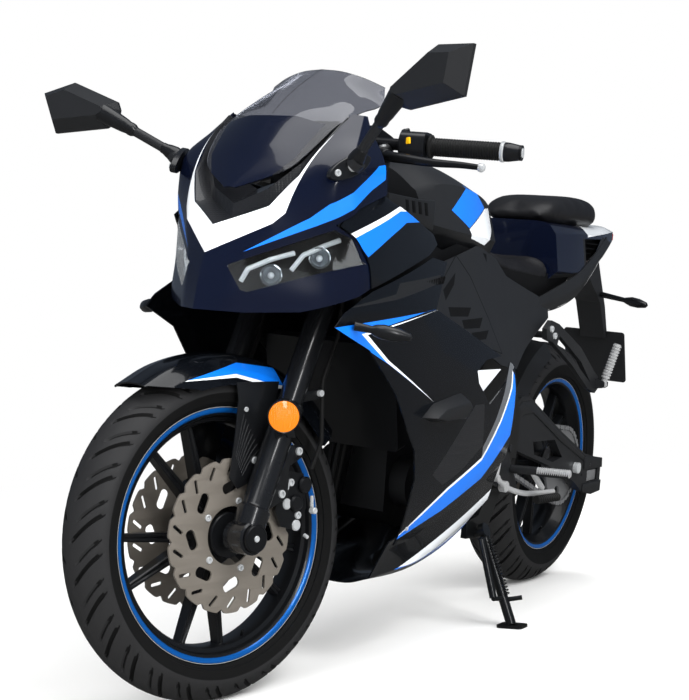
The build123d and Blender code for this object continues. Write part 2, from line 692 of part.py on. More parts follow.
with BuildPart() as rear_caliper:
    plate([(60, 400), (110, 380), (130, 330), (90, 318), (55, 350)], -80, -38)
    slot = [(-20, 440), (118, 440), (118, 300), (-20, 300)]
    plate(slot, REAR_DISC_FACE - DISC_T - SIDE_CLEAR, REAR_DISC_FACE + SIDE_CLEAR, Mode.SUBTRACT)
    plate([(118, 345), (150, 352), (150, 322), (118, 322)], -ARM_INNER + TOUCH, -60)
save(rear_caliper.part, "rear_caliper")

with BuildPart() as shock:
    rod((372, 0, 521.3), (492, 0, 610), 26)
    rod((492, 0, 610), (550.1, 0, 652.9), 12)
save(shock.part, "shock")

# Rider footpegs on their bracket plates
BRACKET = [(575, 330), (560, 452), (505, 462), (480, 400), (425, 330), (405, 300), (450, 296), (520, 316)]
with BuildPart() as footpeg_bracket:
    plate(BRACKET, 137, 145)
    rod((452, 144, 352), (448, 210, 356), 12)
    rod((448, 208, 356), (440, 285, 360), 13)
    for spot in ((468, 400), (500, 392)):
        rod((spot[0], 136.3, spot[1]), (spot[0], 140, spot[1]), 10)
with BuildPart() as gear_side:
    add(footpeg_bracket.part)
    rod((300, 190, 292), (505, 156, 318), 6)
    rod((300, 180, 292), (300, 215, 292), 9)
    rod((545, 152, 340), (530, 152, 408), 5)
    rod((505, 144, 318), (505, 162, 318), 11)
    rod((505, 156, 318), (548, 152, 338), 6)
save(gear_side.part, "footpeg_bracket_left")
with BuildPart() as brake_side:
    add(mirror(footpeg_bracket.part, about=Plane.XZ))
    rod((505, -144, 330), (505, -162, 330), 12)
    rod((505, -156, 330), (610, -176, 316), 7)
    rod((610, -172, 316), (610, -205, 316), 9)
save(brake_side.part, "footpeg_bracket_right")

# Passenger brackets: a long bar under the tail on each side with a folding peg at its lower end
PASSENGER_BAR = [(372, 676), (345, 696), (300, 688), (150, 632), (48, 572), (15, 556), (0, 530), (28, 514),
                 (80, 528), (200, 590), (330, 645), (366, 652)]
PEG_PIVOT = (22, 184, 538)
PEG_PIN_R = 4
PEG_LENGTH = 105
PEG_R = 11
with BuildPart() as passenger_bracket:
    plate(PASSENGER_BAR, 154, 166)
    plate([(300, 640), (150, 582), (60, 540), (140, 596), (290, 660)], 150, 170, Mode.SUBTRACT)
    rod((352, 105.2, 661), (352, 154, 661), 8)
    for x in (PEG_PIVOT[0] + 10, PEG_PIVOT[0] - 14):
        with BuildSketch(cross_plane(x)):
            Polygon((165, 526), (186, 529), (192, 534), (192, 544), (186, 548), (165, 552), align=None)
        extrude(amount=4)
    pin_x, pin_y, pin_z = PEG_PIVOT
    rod((pin_x - 14, pin_y, pin_z), (pin_x + 14, pin_y, pin_z), PEG_PIN_R)
save_pair(passenger_bracket.part, "passenger_bracket")

with BuildPart() as passenger_peg:
    x, y, z = PEG_PIVOT
    run = Vector(-8, 26, PEG_LENGTH)
    rod(PEG_PIVOT, tuple(Vector(PEG_PIVOT) + run * 0.2), 7)
    rod(tuple(Vector(PEG_PIVOT) + run * 0.16), tuple(Vector(PEG_PIVOT) + run), PEG_R)
    rod((x - 10 + TOUCH, y, z), (x + 10 - TOUCH, y, z), 8)
    rod((x - 12, y, z), (x + 12, y, z), PEG_PIN_R + RUNNING_FIT, Mode.SUBTRACT)
save_pair(passenger_peg.part, "passenger_peg")

# Body shells

SIDE_SHELL = [
    # x, then (y, z) up the side from the belly to the tank
    (1380, [(150, 180), (185, 300), (205, 520), (205, 690), (190, 790)]),
    (1170, [(150, 185), (200, 290), (232, 520), (222, 715), (195, 880)]),
    (960, [(160, 215), (212, 340), (240, 520), (225, 690), (185, 855)]),
    (760, [(165, 255), (222, 390), (240, 530), (225, 640), (170, 800)]),
    (560, [(165, 300), (215, 430), (232, 560), (215, 640), (150, 760)]),
]


def half_body(table, wall):
    """A closed left half body through the stations, moved in by a wall thickness."""
    stations = []
    for x, points in table:
        low = points[0][1]
        high = points[-1][1]
        outline = [(0, low)] + [(y - wall, z) for y, z in points] + [(0, high)]
        stations.append((x, outline))
    with BuildPart() as body:
        cross_loft(stations)
    return body.part


def side_panel(table, outline):
    """The wall between two half bodies, cut to an outline seen from the side."""
    with BuildPart() as panel:
        add(half_body(table, 0))
        add(half_body(table, WALL), mode=Mode.SUBTRACT)
        plate(outline, 90, 320, Mode.INTERSECT)
    return panel.part


LOWER_EDGE = [(1070, 262), (1000, 262), (871, 305), (731, 358), (652, 400)]
SIDE_OUTLINE = [(1365, 678), (1264, 640), (1179, 560), (1136, 503), (1090, 453), (1065, 394), (1063, 340),
                (1058, 262), *LOWER_EDGE[1:], (658, 444), (672, 604), (1036, 716), (962, 806),
                (1030, 812), (1258, 742), (1340, 702)]
VENT = [(902, 590), (829, 638), (762, 613), (773, 585), (868, 536)]

# A small wing that stands out ahead of the vent
WINGLET = [(1086, 514), (1045, 503), (947, 504), (920, 542), (934, 562), (1045, 543)]
WINGLET_ROOT = 230
WINGLET_TIP = 268
WINGLET_TAPER = 11

side_fairing = side_panel(SIDE_SHELL, SIDE_OUTLINE)
with BuildPart() as winglet:
    with BuildSketch(side_plane(WINGLET_ROOT)):
        Polygon(*WINGLET, align=None)
    with BuildSketch(side_plane(WINGLET_TIP)):
        Polygon(*WINGLET, align=None)
        offset(amount=-WINGLET_TAPER, kind=Kind.INTERSECTION)
    loft(ruled=True)
    add(half_body(SIDE_SHELL, 1), mode=Mode.SUBTRACT)
with BuildPart() as side_fairing_panel:
    add(side_fairing)
    plate(VENT, 150, 320, Mode.SUBTRACT)
    add(winglet.part)
    rod((690, 119.4, 597), (690, 227, 597), 6)
save_pair(side_fairing_panel.part, "side_fairing")

COVER_SHELL = [
    # x, then (y, z) up the side from the fairing to the tank and the seat
    (1060, [(219, 690), (205, 760), (188, 830)]),
    (800, [(214, 600), (186, 720), (162, 850)]),
    (560, [(190, 560), (160, 690), (132, 815)]),
    (290, [(140, 560), (136, 690), (122, 770)]),
]
COVER_OUTLINE = [(956, 806), (1030, 713), (672, 601), (560, 588), (480, 628), (296, 700), (294, 738),
                 (420, 762), (560, 790), (650, 842), (760, 846)]
with BuildPart() as frame_cover:
    add(side_panel(COVER_SHELL, COVER_OUTLINE))
    rod((450, 107.1, 735), (450, 139.5, 735), 7)
save_pair(frame_cover.part, "frame_cover")

COWL_OUTLINE = [(1500, 680), (1431, 691), (1372, 698), (1311, 722), (1260, 746), (1268, 788), (1304, 832),
                (1334, 850), (1292, 882), (1208, 914), (1214, 994), (1222, 1025), (1215, 1060), (1500, 1060)]
LAMP_PLANE = Plane(origin=(1457, 40, 767), x_dir=(-0.6533, 0.7571, 0), z_dir=(0.7516, 0.6486, 0.1192))
LAMP_POINTS = [(1457, 40, 768), (1334, 170, 842), (1304, 189, 830), (1268, 203, 788), (1436, 70, 725),
               (1444, 61, 728)]


def lamp_sketch(gap):
    """The lamp's outline in its own plane, grown by a gap."""
    flat = [LAMP_PLANE.to_local_coords(Vector(*p)) for p in LAMP_POINTS]
    Polygon(*[(p.X, p.Y) for p in flat], align=None)
    if gap:
        offset(amount=gap, kind=Kind.INTERSECTION)


# Windscreen: arcs across a sloping plane, by distance up the slope from its tip
SCREEN_TIP = (1417, 0, 898)
SCREEN_TOP = (1156, 0, 1144)
SCREEN_RUN = Vector(SCREEN_TOP) - Vector(SCREEN_TIP)
SCREEN_UP = SCREEN_RUN.normalized()
SCREEN_OUT = Vector(0, 1, 0).cross(SCREEN_UP)
SCREEN_LENGTH = SCREEN_RUN.length
SCREEN_STATIONS = [
    # distance up the slope, half width, height of the middle, height of the edges
    (4, 12, 2, 0),
    (64, 86, 11, -3),
    (115, 108, 20, 0),
    (190, 121, 28, 0),
    (290, 128, 20, -14),
    (SCREEN_LENGTH, 118, 0, -34),
]


def screen_plane(distance):
    """The plane across the screen at this distance up its slope."""
    return Plane(origin=Vector(SCREEN_TIP) + SCREEN_UP * distance, x_dir=(0, 1, 0), z_dir=SCREEN_UP)


SCREEN_FLIP = -1 if screen_plane(0).y_dir.Z < 0 else 1

with BuildPart() as windscreen:
    for distance, half, middle, edge in SCREEN_STATIONS:
        up = SCREEN_FLIP
        with BuildSketch(screen_plane(distance)):
            with BuildLine():
                low = up * (edge - WALL)
                ThreePointArc((-half, up * edge), (0, up * middle), (half, up * edge))
                Line((half, up * edge), (half, low))
                ThreePointArc((half, low), (0, up * (middle - WALL)), (-half, low))
                Line((-half, low), (-half, up * edge))
            make_face()
    loft(ruled=True)
save(windscreen.part, "windscreen")

SCREEN_FACE = Plane(origin=SCREEN_TIP, x_dir=SCREEN_UP, z_dir=SCREEN_OUT)
SCREEN_GAP = 0.6
screen_edge = [(distance, half) for distance, half, middle, edge in SCREEN_STATIONS]
screen_edge[0] = (0, 12)

with BuildPart() as cowl_body:
    level_loft(LEVELS)

with BuildPart() as nose_cowl:
    add(cowl_body.part)
    level_loft([(LEVELS[0][0] - 1, LEVELS[0][1]), *LEVELS[1:-1], (LEVELS[-1][0] + 1, LEVELS[-1][1])], WALL,
               Mode.SUBTRACT)
    plate(COWL_OUTLINE, -300, 300, Mode.INTERSECT)
    with BuildSketch(SCREEN_FACE.offset(-70)):
        edges = screen_edge + [(SCREEN_LENGTH + 60, 118)]
        Polygon(*(edges + [(d, -h) for d, h in reversed(edges)]), align=None)
        offset(amount=SCREEN_GAP, kind=Kind.INTERSECTION)
    extrude(amount=200, mode=Mode.SUBTRACT)
    with BuildSketch(LAMP_PLANE.offset(-120)):
        lamp_sketch(1)
    extrude(amount=200, mode=Mode.SUBTRACT)
    split(bisect_by=Plane.XZ, keep=Keep.BOTTOM)
    mirror(about=Plane.XZ)
save(nose_cowl.part, "nose_cowl")

LAMP_DEPTH = 50
with BuildPart() as headlight:
    add(cowl_body.part)
    with BuildSketch(LAMP_PLANE.offset(-LAMP_DEPTH)):
        lamp_sketch(0)
    extrude(amount=140, mode=Mode.INTERSECT)
save_pair(headlight.part, "headlight")

CHEEK_LEVELS = [
    # x, then (y, z) up the side of the cheek panel behind the lamp
    (1345, [(203, 700), (204, 790), (178, 850), (160, 890)]),
    (1200, [(214, 700), (206, 800), (196, 900), (170, 940)]),
    (960, [(200, 700), (192, 800), (180, 845), (160, 880)]),
]
CHEEK_OUTLINE = [(1333.2, 849.9), (1291.8, 881.5), (1206, 914.3), (1190, 905), (1110, 885), (1000, 856),
                 (985, 838), (1030, 816), (1259.4, 746.6), (1267.6, 788.3), (1303.6, 832.3)]
save_pair(side_panel(CHEEK_LEVELS, CHEEK_OUTLINE), "cheek_panel")

BELLY = [
    # x, then (y, z) from the lip behind the side fairing to the bottom
    (1062, [(185, 280), (173, 256), (142, 190), (90, 172)]),
    (871, [(191, 326), (181, 298), (152, 205), (100, 168)]),
    (731, [(201, 378), (191, 350), (161, 255), (105, 190)]),
    (600, [(196, 412), (186, 388), (161, 300), (110, 236)]),
]


def trough(table, wall):
    """An open trough through the stations, as thick as a wall."""
    outer = [(x, both_sides([(y, z) for y, z in points])) for x, points in table]
    inner = []
    for x, points in table:
        raised = [(y - wall, z + (40 if i == 0 else wall)) for i, (y, z) in enumerate(points)]
        inner.append((x, both_sides(raised)))
    inner[0] = (inner[0][0] + 1, inner[0][1])
    inner[-1] = (inner[-1][0] - 1, inner[-1][1])
    with BuildPart() as shell:
        cross_loft(outer)
        cross_loft(inner, Mode.SUBTRACT)
    return shell.part


with BuildPart() as belly_lip:
    add(half_body(SIDE_SHELL, WALL + TOUCH))
    add(half_body(SIDE_SHELL, 2 * WALL + 4), mode=Mode.SUBTRACT)
    plate([(1040, 268), (880, 302), (740, 354), (740, 380), (880, 326), (1040, 288)], 90, 320, Mode.INTERSECT)
with BuildPart() as fairing_room:
    add(half_body(SIDE_SHELL, -20))
    add(half_body(SIDE_SHELL, WALL + TOUCH), mode=Mode.SUBTRACT)
    plate([(x, z - 1) for x, z in LOWER_EDGE] + [(652, 500), (1070, 500)], 90, 320, Mode.INTERSECT)
with BuildPart() as belly_pan:
    add(trough(BELLY, WALL))
    add(belly_lip.part)
    add(mirror(belly_lip.part, about=Plane.XZ))
    add(fairing_room.part, mode=Mode.SUBTRACT)
    add(mirror(fairing_room.part, about=Plane.XZ), mode=Mode.SUBTRACT)
    plate([(560, 140), (660, 140), (652, 262), (560, 304)], -250, 250, Mode.SUBTRACT)
save(belly_pan.part, "belly_pan")

# Tank, seats and tail

TANK = [
    # x, then (y, z) from the bottom round the side to the top
    (972, [(118, 850), (152, 878), (120, 940), (58, 982)]),
    (880, [(126, 822), (166, 870), (134, 962), (66, 1003)]),
    (740, [(122, 790), (156, 866), (130, 958), (64, 990)]),
    (610, [(100, 800), (128, 862), (104, 938), (52, 960)]),
    (560, [(74, 820), (92, 868), (78, 915), (44, 932)]),
]
with BuildPart() as tank:
    cross_loft([(x, both_sides(points)) for x, points in TANK])
    for side in (-1, 1):
        wing = [(965, 862), (1108, 878), (1150, 900), (1150, 924), (1030, 922), (965, 925)]
        plate(wing, *sorted((side * 148, side * 166)))
        plate([(972, 866), (972, 926), (930, 926), (930, 866)], *sorted((side * 120, side * 160)))
        rod((880, side * 88, 802), (880, side * 88, 824), 9)
save(tank.part, "tank")

CAP_R = 46
CAP_X = 845
CAP_Z = 1003
with BuildPart() as fuel_cap:
    with BuildSketch(Plane.XY.offset(CAP_Z + TOUCH)):
        with Locations((CAP_X, 0)):
            Circle(CAP_R)
    extrude(amount=9)
save(fuel_cap.part, "fuel_cap")

RIDER_SEAT = [
    (556, [(70, 806), (82, 822), (50, 846)]),
    (430, [(100, 788), (116, 806), (84, 826)]),
    (300, [(110, 787), (120, 806), (96, 828)]),
    (258.3, [(110, 790), (120, 812), (94, 846)]),
]
with BuildPart() as rider_seat:
    cross_loft([(x, both_sides(points)) for x, points in RIDER_SEAT])
save(rider_seat.part, "rider_seat")

PASSENGER_SEAT = [
    (262, [(60, 930), (74, 938), (56, 946)]),
    (215, [(88, 930), (104, 950), (80, 976)]),
    (90, [(92, 932), (108, 960), (84, 994)]),
    (-70, [(80, 936), (96, 964), (74, 994)]),
    (-150, [(52, 940), (62, 954), (46, 968)]),
]
with BuildPart() as passenger_seat:
    cross_loft([(x, both_sides(points)) for x, points in PASSENGER_SEAT])
save(passenger_seat.part, "passenger_seat")

TAIL = [
    (258, [(106, 790), (132, 812), (118, 900), (92, 926)]),
    (100, [(84, 792), (122, 815), (112, 910), (86, 930)]),
    (-100, [(60, 834), (94, 850), (90, 915), (66, 936)]),
    (-240, [(36, 878), (62, 888), (60, 930), (42, 946)]),
    (-330, [(18, 906), (38, 912), (38, 938), (24, 944)]),
]
# Three-cornered recess in each side of the tail
TAIL_RECESS = [(84, 898), (-30, 906), (92, 822)]
with BuildPart() as tail_cowl:
    cross_loft([(x, both_sides(points)) for x, points in TAIL])
    for side in (-1, 1):
        plate(TAIL_RECESS, *sorted((side * 90, side * 140)), Mode.SUBTRACT)
        skirt = [(356, 757), (410, 786), (300, 806), (150, 860), (90, 850), (180, 782), (250, 752)]
        plate(skirt, *sorted((side * 123, side * 128)))
    rod((250, -84, 772), (250, 84, 772), 14, Mode.SUBTRACT)
    for side in (-1, 1):
        rod((250, side * 84, 772), (-150, side * 44, 842), 13, Mode.SUBTRACT)
    rod((-150, -44, 842), (-150, 44, 842), 12, Mode.SUBTRACT)
save(tail_cowl.part, "tail_cowl")

with BuildPart() as tail_light:
    plate([(-331, 912), (-331, 938), (-346, 932), (-346, 916)], -34, 34)
save(tail_light.part, "tail_light")

# Rear mudguard with its plate holder
PLATE_HALF = 90
with BuildPart() as plate_holder:
    mudguard = [(-165, 854), (-235, 876), (-330, 730), (-372, 640), (-350, 640), (-290, 740), (-200, 800),
                (-165, 812)]
    plate(mudguard, -36, 36)
    with BuildSketch(Plane(origin=(-384, 0, 590), x_dir=(0, 1, 0), z_dir=(-0.94, 0, 0.34))):
        RectangleRounded(2 * PLATE_HALF, 150, 8)
    extrude(amount=-4)
save(plate_holder.part, "plate_holder")

with BuildPart() as indicators:
    for side in (-1, 1):
        rod((-285, side * 39.8, 762), (-222, side * 150, 746), 7)
        rod((-222, side * 140, 746), (-208, side * 202, 744), 12)
        rod((1318, side * 215.2, 682), (1290, side * 256, 674), 7)
        rod((1290, side * 248, 674), (1262, side * 300, 670), 12)
save(indicators.part, "indicators")

DASH_HALF = 76
with BuildPart() as dash:
    case = [(1160, 985), (1142, 1012), (1200, 1042), (1262, 1010), (1290, 960), (1262, 950), (1230, 975)]
    plate(case, -DASH_HALF, DASH_HALF)
save(dash.part, "dash")

# Mirrors: a stem from the cowl and a faceted housing turned a little outwards, the right one tipped down
MIRROR_FOOT = (1325, 185, 956)
MIRROR_FACE = Plane(origin=(1372, 350, 1100), x_dir=(0.17, 0.985, 0), z_dir=(0.985, -0.17, 0))
MIRROR_OUTLINE = [(-72, -14), (10, 47), (80, 46), (70, -36), (-40, -56), (-66, -50), (-74, -30)]
MIRROR_DEPTH = 34
MIRROR_RIM = 7
MIRROR_BULGE = 19
MIRROR_DROP = 18


def mirror_unit(drop):
    """A left mirror whose arm is tipped down about its foot by an angle."""
    foot = Pos(*MIRROR_FOOT)
    turned = foot * Location((0, 0, 0), (1, 0, 0), -drop) * foot.inverse()
    with BuildPart() as arm:
        with BuildSketch(MIRROR_FACE):
            Polygon(*MIRROR_OUTLINE, align=None)
        with BuildSketch(MIRROR_FACE.offset(MIRROR_DEPTH)):
            Polygon(*MIRROR_OUTLINE, align=None)
            offset(amount=-MIRROR_BULGE, kind=Kind.INTERSECTION)
        loft(ruled=True)
        with BuildSketch(MIRROR_FACE):
            Polygon(*MIRROR_OUTLINE, align=None)
        extrude(amount=-MIRROR_RIM)
        rod((1325, 195, 964), (1378, 296, 1064), 9)
    with BuildPart() as unit:
        add(arm.part.moved(turned))
        rod((1325, 189.3, 952), (1325, 200, 962), 15)
        with Locations((1325, 196, 962)):
            Sphere(12)
    return unit.part


save(mirror_unit(0), "mirror_left")
save(mirror(mirror_unit(MIRROR_DROP), about=Plane.XZ), "mirror_right")

# Side stand: the foot rests on the floor, and the leg folds back under the belly
foot_centre = place_of(PARK, STAND_FOOT)
leg_end = Vector(STAND_PIVOT) + STAND_RUN * 0.97
tab = Vector(STAND_PIVOT) + STAND_RUN * 0.72
with BuildPart() as side_stand:
    rod(tuple(Vector(STAND_PIVOT) + STAND_RUN * 0.06), tuple(leg_end), STAND_R)
    rod(along_stand(-4.5), along_stand(9), 17)
    with BuildSketch(FLOOR):
        with Locations((foot_centre.X, foot_centre.Y)):
            RectangleRounded(44, 60, 10)
    extrude(amount=6)
    rod(tuple(tab), (586, 258, 98), 5)
    rod((614, 162, 212), (634, 212, 96), 8)
    rod((596, 160, 212), (616, 162, 212), 6)
    rod((606, 222, 92), (636, 212, 94), 5)
save(side_stand.part, "side_stand")
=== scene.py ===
import json
import logging
import math
from collections.abc import Iterator, Sequence
from contextlib import contextmanager
from dataclasses import dataclass, replace
from enum import Enum
from typing import Any

import bmesh
import bpy
from mathutils import Matrix, Vector


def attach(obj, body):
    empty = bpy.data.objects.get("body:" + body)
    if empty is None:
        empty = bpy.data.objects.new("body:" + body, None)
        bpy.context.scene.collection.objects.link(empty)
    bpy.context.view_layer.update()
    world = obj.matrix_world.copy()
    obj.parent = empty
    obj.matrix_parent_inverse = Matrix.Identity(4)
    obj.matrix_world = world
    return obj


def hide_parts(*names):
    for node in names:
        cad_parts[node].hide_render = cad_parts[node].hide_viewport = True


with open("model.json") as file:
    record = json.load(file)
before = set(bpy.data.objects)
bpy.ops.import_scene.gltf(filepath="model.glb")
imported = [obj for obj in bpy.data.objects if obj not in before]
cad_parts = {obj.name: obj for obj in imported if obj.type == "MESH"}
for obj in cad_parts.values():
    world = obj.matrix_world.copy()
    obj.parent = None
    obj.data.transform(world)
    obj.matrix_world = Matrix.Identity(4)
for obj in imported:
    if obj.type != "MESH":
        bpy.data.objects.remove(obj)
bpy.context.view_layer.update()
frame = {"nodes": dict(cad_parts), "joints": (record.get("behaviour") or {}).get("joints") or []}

# A small faired sport motorcycle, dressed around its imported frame.
# Pieces are drawn upright and straight ahead in millimetres, with x 0 at the rear axle, +X forward,
# +Y to the rider's left and +Z up, and are then set down as it parks: leaning, steering turned right.

LOG = logging.getLogger("motorcycle")

Flat = tuple[float, float]
Point = tuple[float, float, float]
Spot = Point | Vector
Mesh = bmesh.types.BMesh
Faces = list[bmesh.types.BMFace]
Plate = tuple[Sequence[Flat], float, float, float]

MM = 0.001
RAKE = math.radians(25)
FRONT_AXLE: Point = (1380, 0, 293)
REAR_AXLE: Point = (0, 0, 314)
ROUND_STEPS = 32
SHARP_DEGREES = 30
BEVEL_DEGREES = 40
CUT_REACH_MM = 0.5
TO_LEFT: Point = (0, 1, 0)


class View(Enum):
    """The direction that an outline is drawn in."""

    SIDE = (0, 2, 1)
    FRONT = (1, 2, 0)

    def flat(self, co: Vector) -> Flat:
        """A point's place in this view."""
        across, up, _ = self.value
        return co[across], co[up]

    def deep(self, flat: Flat, depth: float) -> Vector:
        """The point at a place in this view and a depth along it."""
        across, up, along = self.value
        co = Vector((0, 0, 0))
        co[across], co[up], co[along] = flat[0], flat[1], depth
        return co


class Side(Enum):
    """The left or right side of the machine."""

    LEFT = 1
    RIGHT = -1

    @property
    def word(self) -> str:
        """The side's name in lower case."""
        return self.name.lower()


def joint(name: str) -> dict[str, Any]:
    """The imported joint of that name."""
    return next(j for j in frame["joints"] if j["name"] == name)


def seat_matrix(x_dir: Vector, y_dir: Vector, z_dir: Vector, axle: Point, at: Vector) -> Matrix:
    """A matrix that takes drawing millimetres to the row frame.

    Args:
        x_dir, y_dir, z_dir: The drawing's directions in the row frame.
        axle: An axle's centre in the drawing.
        at: The same axle's centre in the row frame, in metres.

    Returns:
        The 4 by 4 matrix.
    """
    turn = Matrix((x_dir, y_dir, z_dir)).transposed()
    origin = at - turn @ (Vector(axle) * MM)
    return Matrix.Translation(origin) @ turn.to_4x4() @ Matrix.Scale(MM, 4)


def parked_matrix() -> Matrix:
    """Where the rear part of the machine stands, from the rear wheel's joint."""
    spin = joint("rear_wheel_spin")
    y_dir = Vector(spin["axis"]).normalized()
    x_dir = Vector(joint("passenger_peg_right_fold")["axis"]).normalized()
    z_dir = x_dir.cross(y_dir).normalized()
    return seat_matrix(y_dir.cross(z_dir), y_dir, z_dir, REAR_AXLE, Vector(spin["pos_m"]))


def steered_matrix() -> Matrix:
    """Where the steered part stands, from the steering's and the front wheel's joints."""
    spin = joint("front_wheel_spin")
    y_dir = Vector(spin["axis"]).normalized()
    head = Vector(joint("steering")["axis"]).normalized()
    fore = y_dir.cross(head).normalized()
    x_dir = fore * math.cos(RAKE) - head * math.sin(RAKE)
    z_dir = fore * math.sin(RAKE) + head * math.cos(RAKE)
    return seat_matrix(x_dir, y_dir, z_dir, FRONT_AXLE, Vector(spin["pos_m"]))


PARKED = parked_matrix()
STEERED = steered_matrix()

# Finishes

COAT_ROUGH = 0.04
LEAST_ROUGH = 0.02
BUMP_SHARE = 0.3
CLOUD = {"Scale": 9.0, "Detail": 4.0}


class Texture(Enum):
    """The fine relief of a surface: its texture node, that node's settings and its height output."""

    GRAIN = ("ShaderNodeTexNoise", {"Detail": 3.0}, "Fac")
    CAST = ("ShaderNodeTexVoronoi", {}, "Distance")
    WEAVE = ("ShaderNodeTexVoronoi", {"Randomness": 0.0}, "Distance")


def linear(colour: str) -> tuple[float, float, float, float]:
    """Linear red, green, blue and alpha of an sRGB hex value."""
    parts = [int(colour[i:i + 2], 16) / 255 for i in (1, 3, 5)]
    return (*[c / 12.92 if c <= 0.04045 else ((c + 0.055) / 1.055) ** 2.4 for c in parts], 1.0)


def add_node(tree: bpy.types.NodeTree, kind: str, settings: dict[str, Any], links: dict[str, Any]) -> Any:
    """Adds one node.

    Args:
        tree: The node tree that gets it.
        kind: The node's type.
        settings: Values by attribute or input name.
        links: Output sockets by the input they go to.

    Returns:
        The new node.
    """
    node = tree.nodes.new(kind)
    for name, value in settings.items():
        if hasattr(node, name):
            setattr(node, name, value)
        else:
            node.inputs[name].default_value = value
    for name, socket in links.items():
        tree.links.new(socket, node.inputs[name])
    return node


@dataclass(frozen=True)
class Finish:
    """A finish: its colour, its gloss and its relief.

    texture_mm is the relief's real grain, or a coarser one where the real one is too fine to show.
    """

    name: str
    slot: str
    colour: str
    rough: float
    metallic: float = 0.0
    coat: float = 0.0
    texture: Texture = Texture.GRAIN
    texture_mm: float = 1.0
    relief: float = 0.1
    mottle: float = 0.15
    clear: float = 0.0
    glow: float = 0.0
    shine: float = 0.5
    stretch: tuple[float, float, float] = (1, 1, 1)

    def material(self) -> bpy.types.Material:
        """The Blender material, made once."""
        found = bpy.data.materials.get(self.name)
        if found:
            return found
        material = bpy.data.materials.new(self.name)
        material.use_nodes = True
        self.fill(material.node_tree)
        return material

    def fill(self, tree: bpy.types.NodeTree) -> None:
        """Adds the nodes."""
        colour = linear(self.colour)
        shader = tree.nodes["Principled BSDF"]
        values = {"Base Color": colour, "Metallic": self.metallic, "Roughness": self.rough,
                  "Coat Weight": self.coat, "Coat Roughness": COAT_ROUGH,
                  "Specular IOR Level": self.shine, "Transmission Weight": self.clear,
                  "Emission Color": colour, "Emission Strength": self.glow}
        for name, value in values.items():
            shader.inputs[name].default_value = value
        place = add_node(tree, "ShaderNodeTexCoord", {}, {})
        spread = add_node(tree, "ShaderNodeMapping", {"Scale": self.stretch},
                          {"Vector": place.outputs["Object"]})
        where = spread.outputs["Vector"]
        kind, settings, height = self.texture.value
        grain = add_node(tree, kind, {"Scale": 1 / (self.texture_mm * MM), **settings}, {"Vector": where})
        bump = add_node(tree, "ShaderNodeBump",
                        {"Strength": self.relief, "Distance": self.texture_mm * MM * BUMP_SHARE},
                        {"Height": grain.outputs[height]})
        tree.links.new(bump.outputs["Normal"], shader.inputs["Normal"])
        if not self.mottle:
            return
        cloud = add_node(tree, "ShaderNodeTexNoise", CLOUD, {"Vector": where})
        tint = add_node(tree, "ShaderNodeHueSaturation", {"Color": colour}, {})
        tree.links.new(tint.outputs["Color"], shader.inputs["Base Color"])
        low, high = 1 - self.mottle, 1 + self.mottle
        rough = (max(LEAST_ROUGH, self.rough * low), min(1.0, self.rough * high))
        shade = (1 - self.mottle / 2, 1 + self.mottle / 2)
        for (least, most), goal in ((rough, shader.inputs["Roughness"]), (shade, tint.inputs["Value"])):
            uneven = add_node(tree, "ShaderNodeMapRange", {"To Min": least, "To Max": most},
                              {"Value": cloud.outputs["Fac"]})
            tree.links.new(uneven.outputs["Result"], goal)


# Black lacquer under a clear coat: deep, wet-looking, with a faint orange peel
LACQUER = Finish("black_lacquer_on_abs", "gloss_black", "#07090d", 0.22, coat=0.65, texture_mm=3.0,
                 relief=0.025, mottle=0.1, shine=0.3)
# Dark blue-black lacquer of the nose and the tail: the same, with a blue cast
NAVY = replace(LACQUER, name="navy_lacquer_on_abs", colour="#060b1c", rough=0.2)
# Glossy vinyl film over the lacquer
BLUE = replace(LACQUER, name="blue_vinyl_stripe", colour="#0a6fe0", rough=0.25, coat=0.8, relief=0.02,
               mottle=0.06, shine=0.5)
WHITE = replace(BLUE, name="white_vinyl_stripe", colour="#e4e8ec", mottle=0.04)
# Moulded ABS with a fine leather grain, unpainted: soft grey-black sheen
MOULDED = Finish("grained_black_abs", "plastic_black", "#1b1c1e", 0.42, texture_mm=1.2, relief=0.18)
# The same plastic, smooth moulded
SMOOTH = Finish("smooth_black_abs", "plastic_black", "#101113", 0.3, coat=0.3, texture_mm=2.0, relief=0.05)
# The same plastic in a lighter grey, with a satin face: a painted highlight along the vent's rounded rear
# edge
HIGHLIGHT_GREY = Finish("painted_highlight_grey_abs", "plastic_black", "#55585c", 0.36, texture_mm=1.2, relief=0.1)
# Printed carbon pattern on satin plastic: a fine woven check
CARBON = Finish("woven_pattern_on_abs", "plastic_black", "#1a1b1e", 0.34, coat=0.5, texture=Texture.WEAVE,
                texture_mm=4.0, relief=0.5)
# Vulcanised rubber: matt and slightly dusty on the tread; the grooves get a darker rubber, painted shade
TREAD = Finish("road_tyre_rubber", "tyre_rubber", "#202021", 0.58, texture_mm=1.5, relief=0.25, mottle=0.25)
GROOVE = Finish("shaded_groove_rubber", "tyre_rubber", "#080808", 0.8, texture_mm=1.5, relief=0.2)
# Die-cast aluminium painted satin black
CAST_BLACK = Finish("satin_black_on_cast_aluminium", "cast_black", "#0d0e10", 0.32, coat=0.25,
                    texture=Texture.CAST, texture_mm=1.6, relief=0.06)
# Metallic film on the rim's flange
RIM_TAPE = Finish("blue_metallic_rim_tape", "cast_black", "#0b62b8", 0.28, metallic=0.6, coat=0.6,
                  mottle=0.08, relief=0.03)
# Ground stainless steel: turned marks round the axle
GROUND_STEEL = Finish("ground_stainless_steel", "disc_steel", "#7a746c", 0.38, metallic=0.45, texture_mm=0.9,
                      relief=0.12, stretch=(1, 0.1, 1), mottle=0.2)
# Bright zinc on screws, pins and rings
PLATED = Finish("zinc_plated_steel", "steel_dark", "#c3c6c8", 0.28, metallic=0.5, texture_mm=0.8,
                relief=0.05)
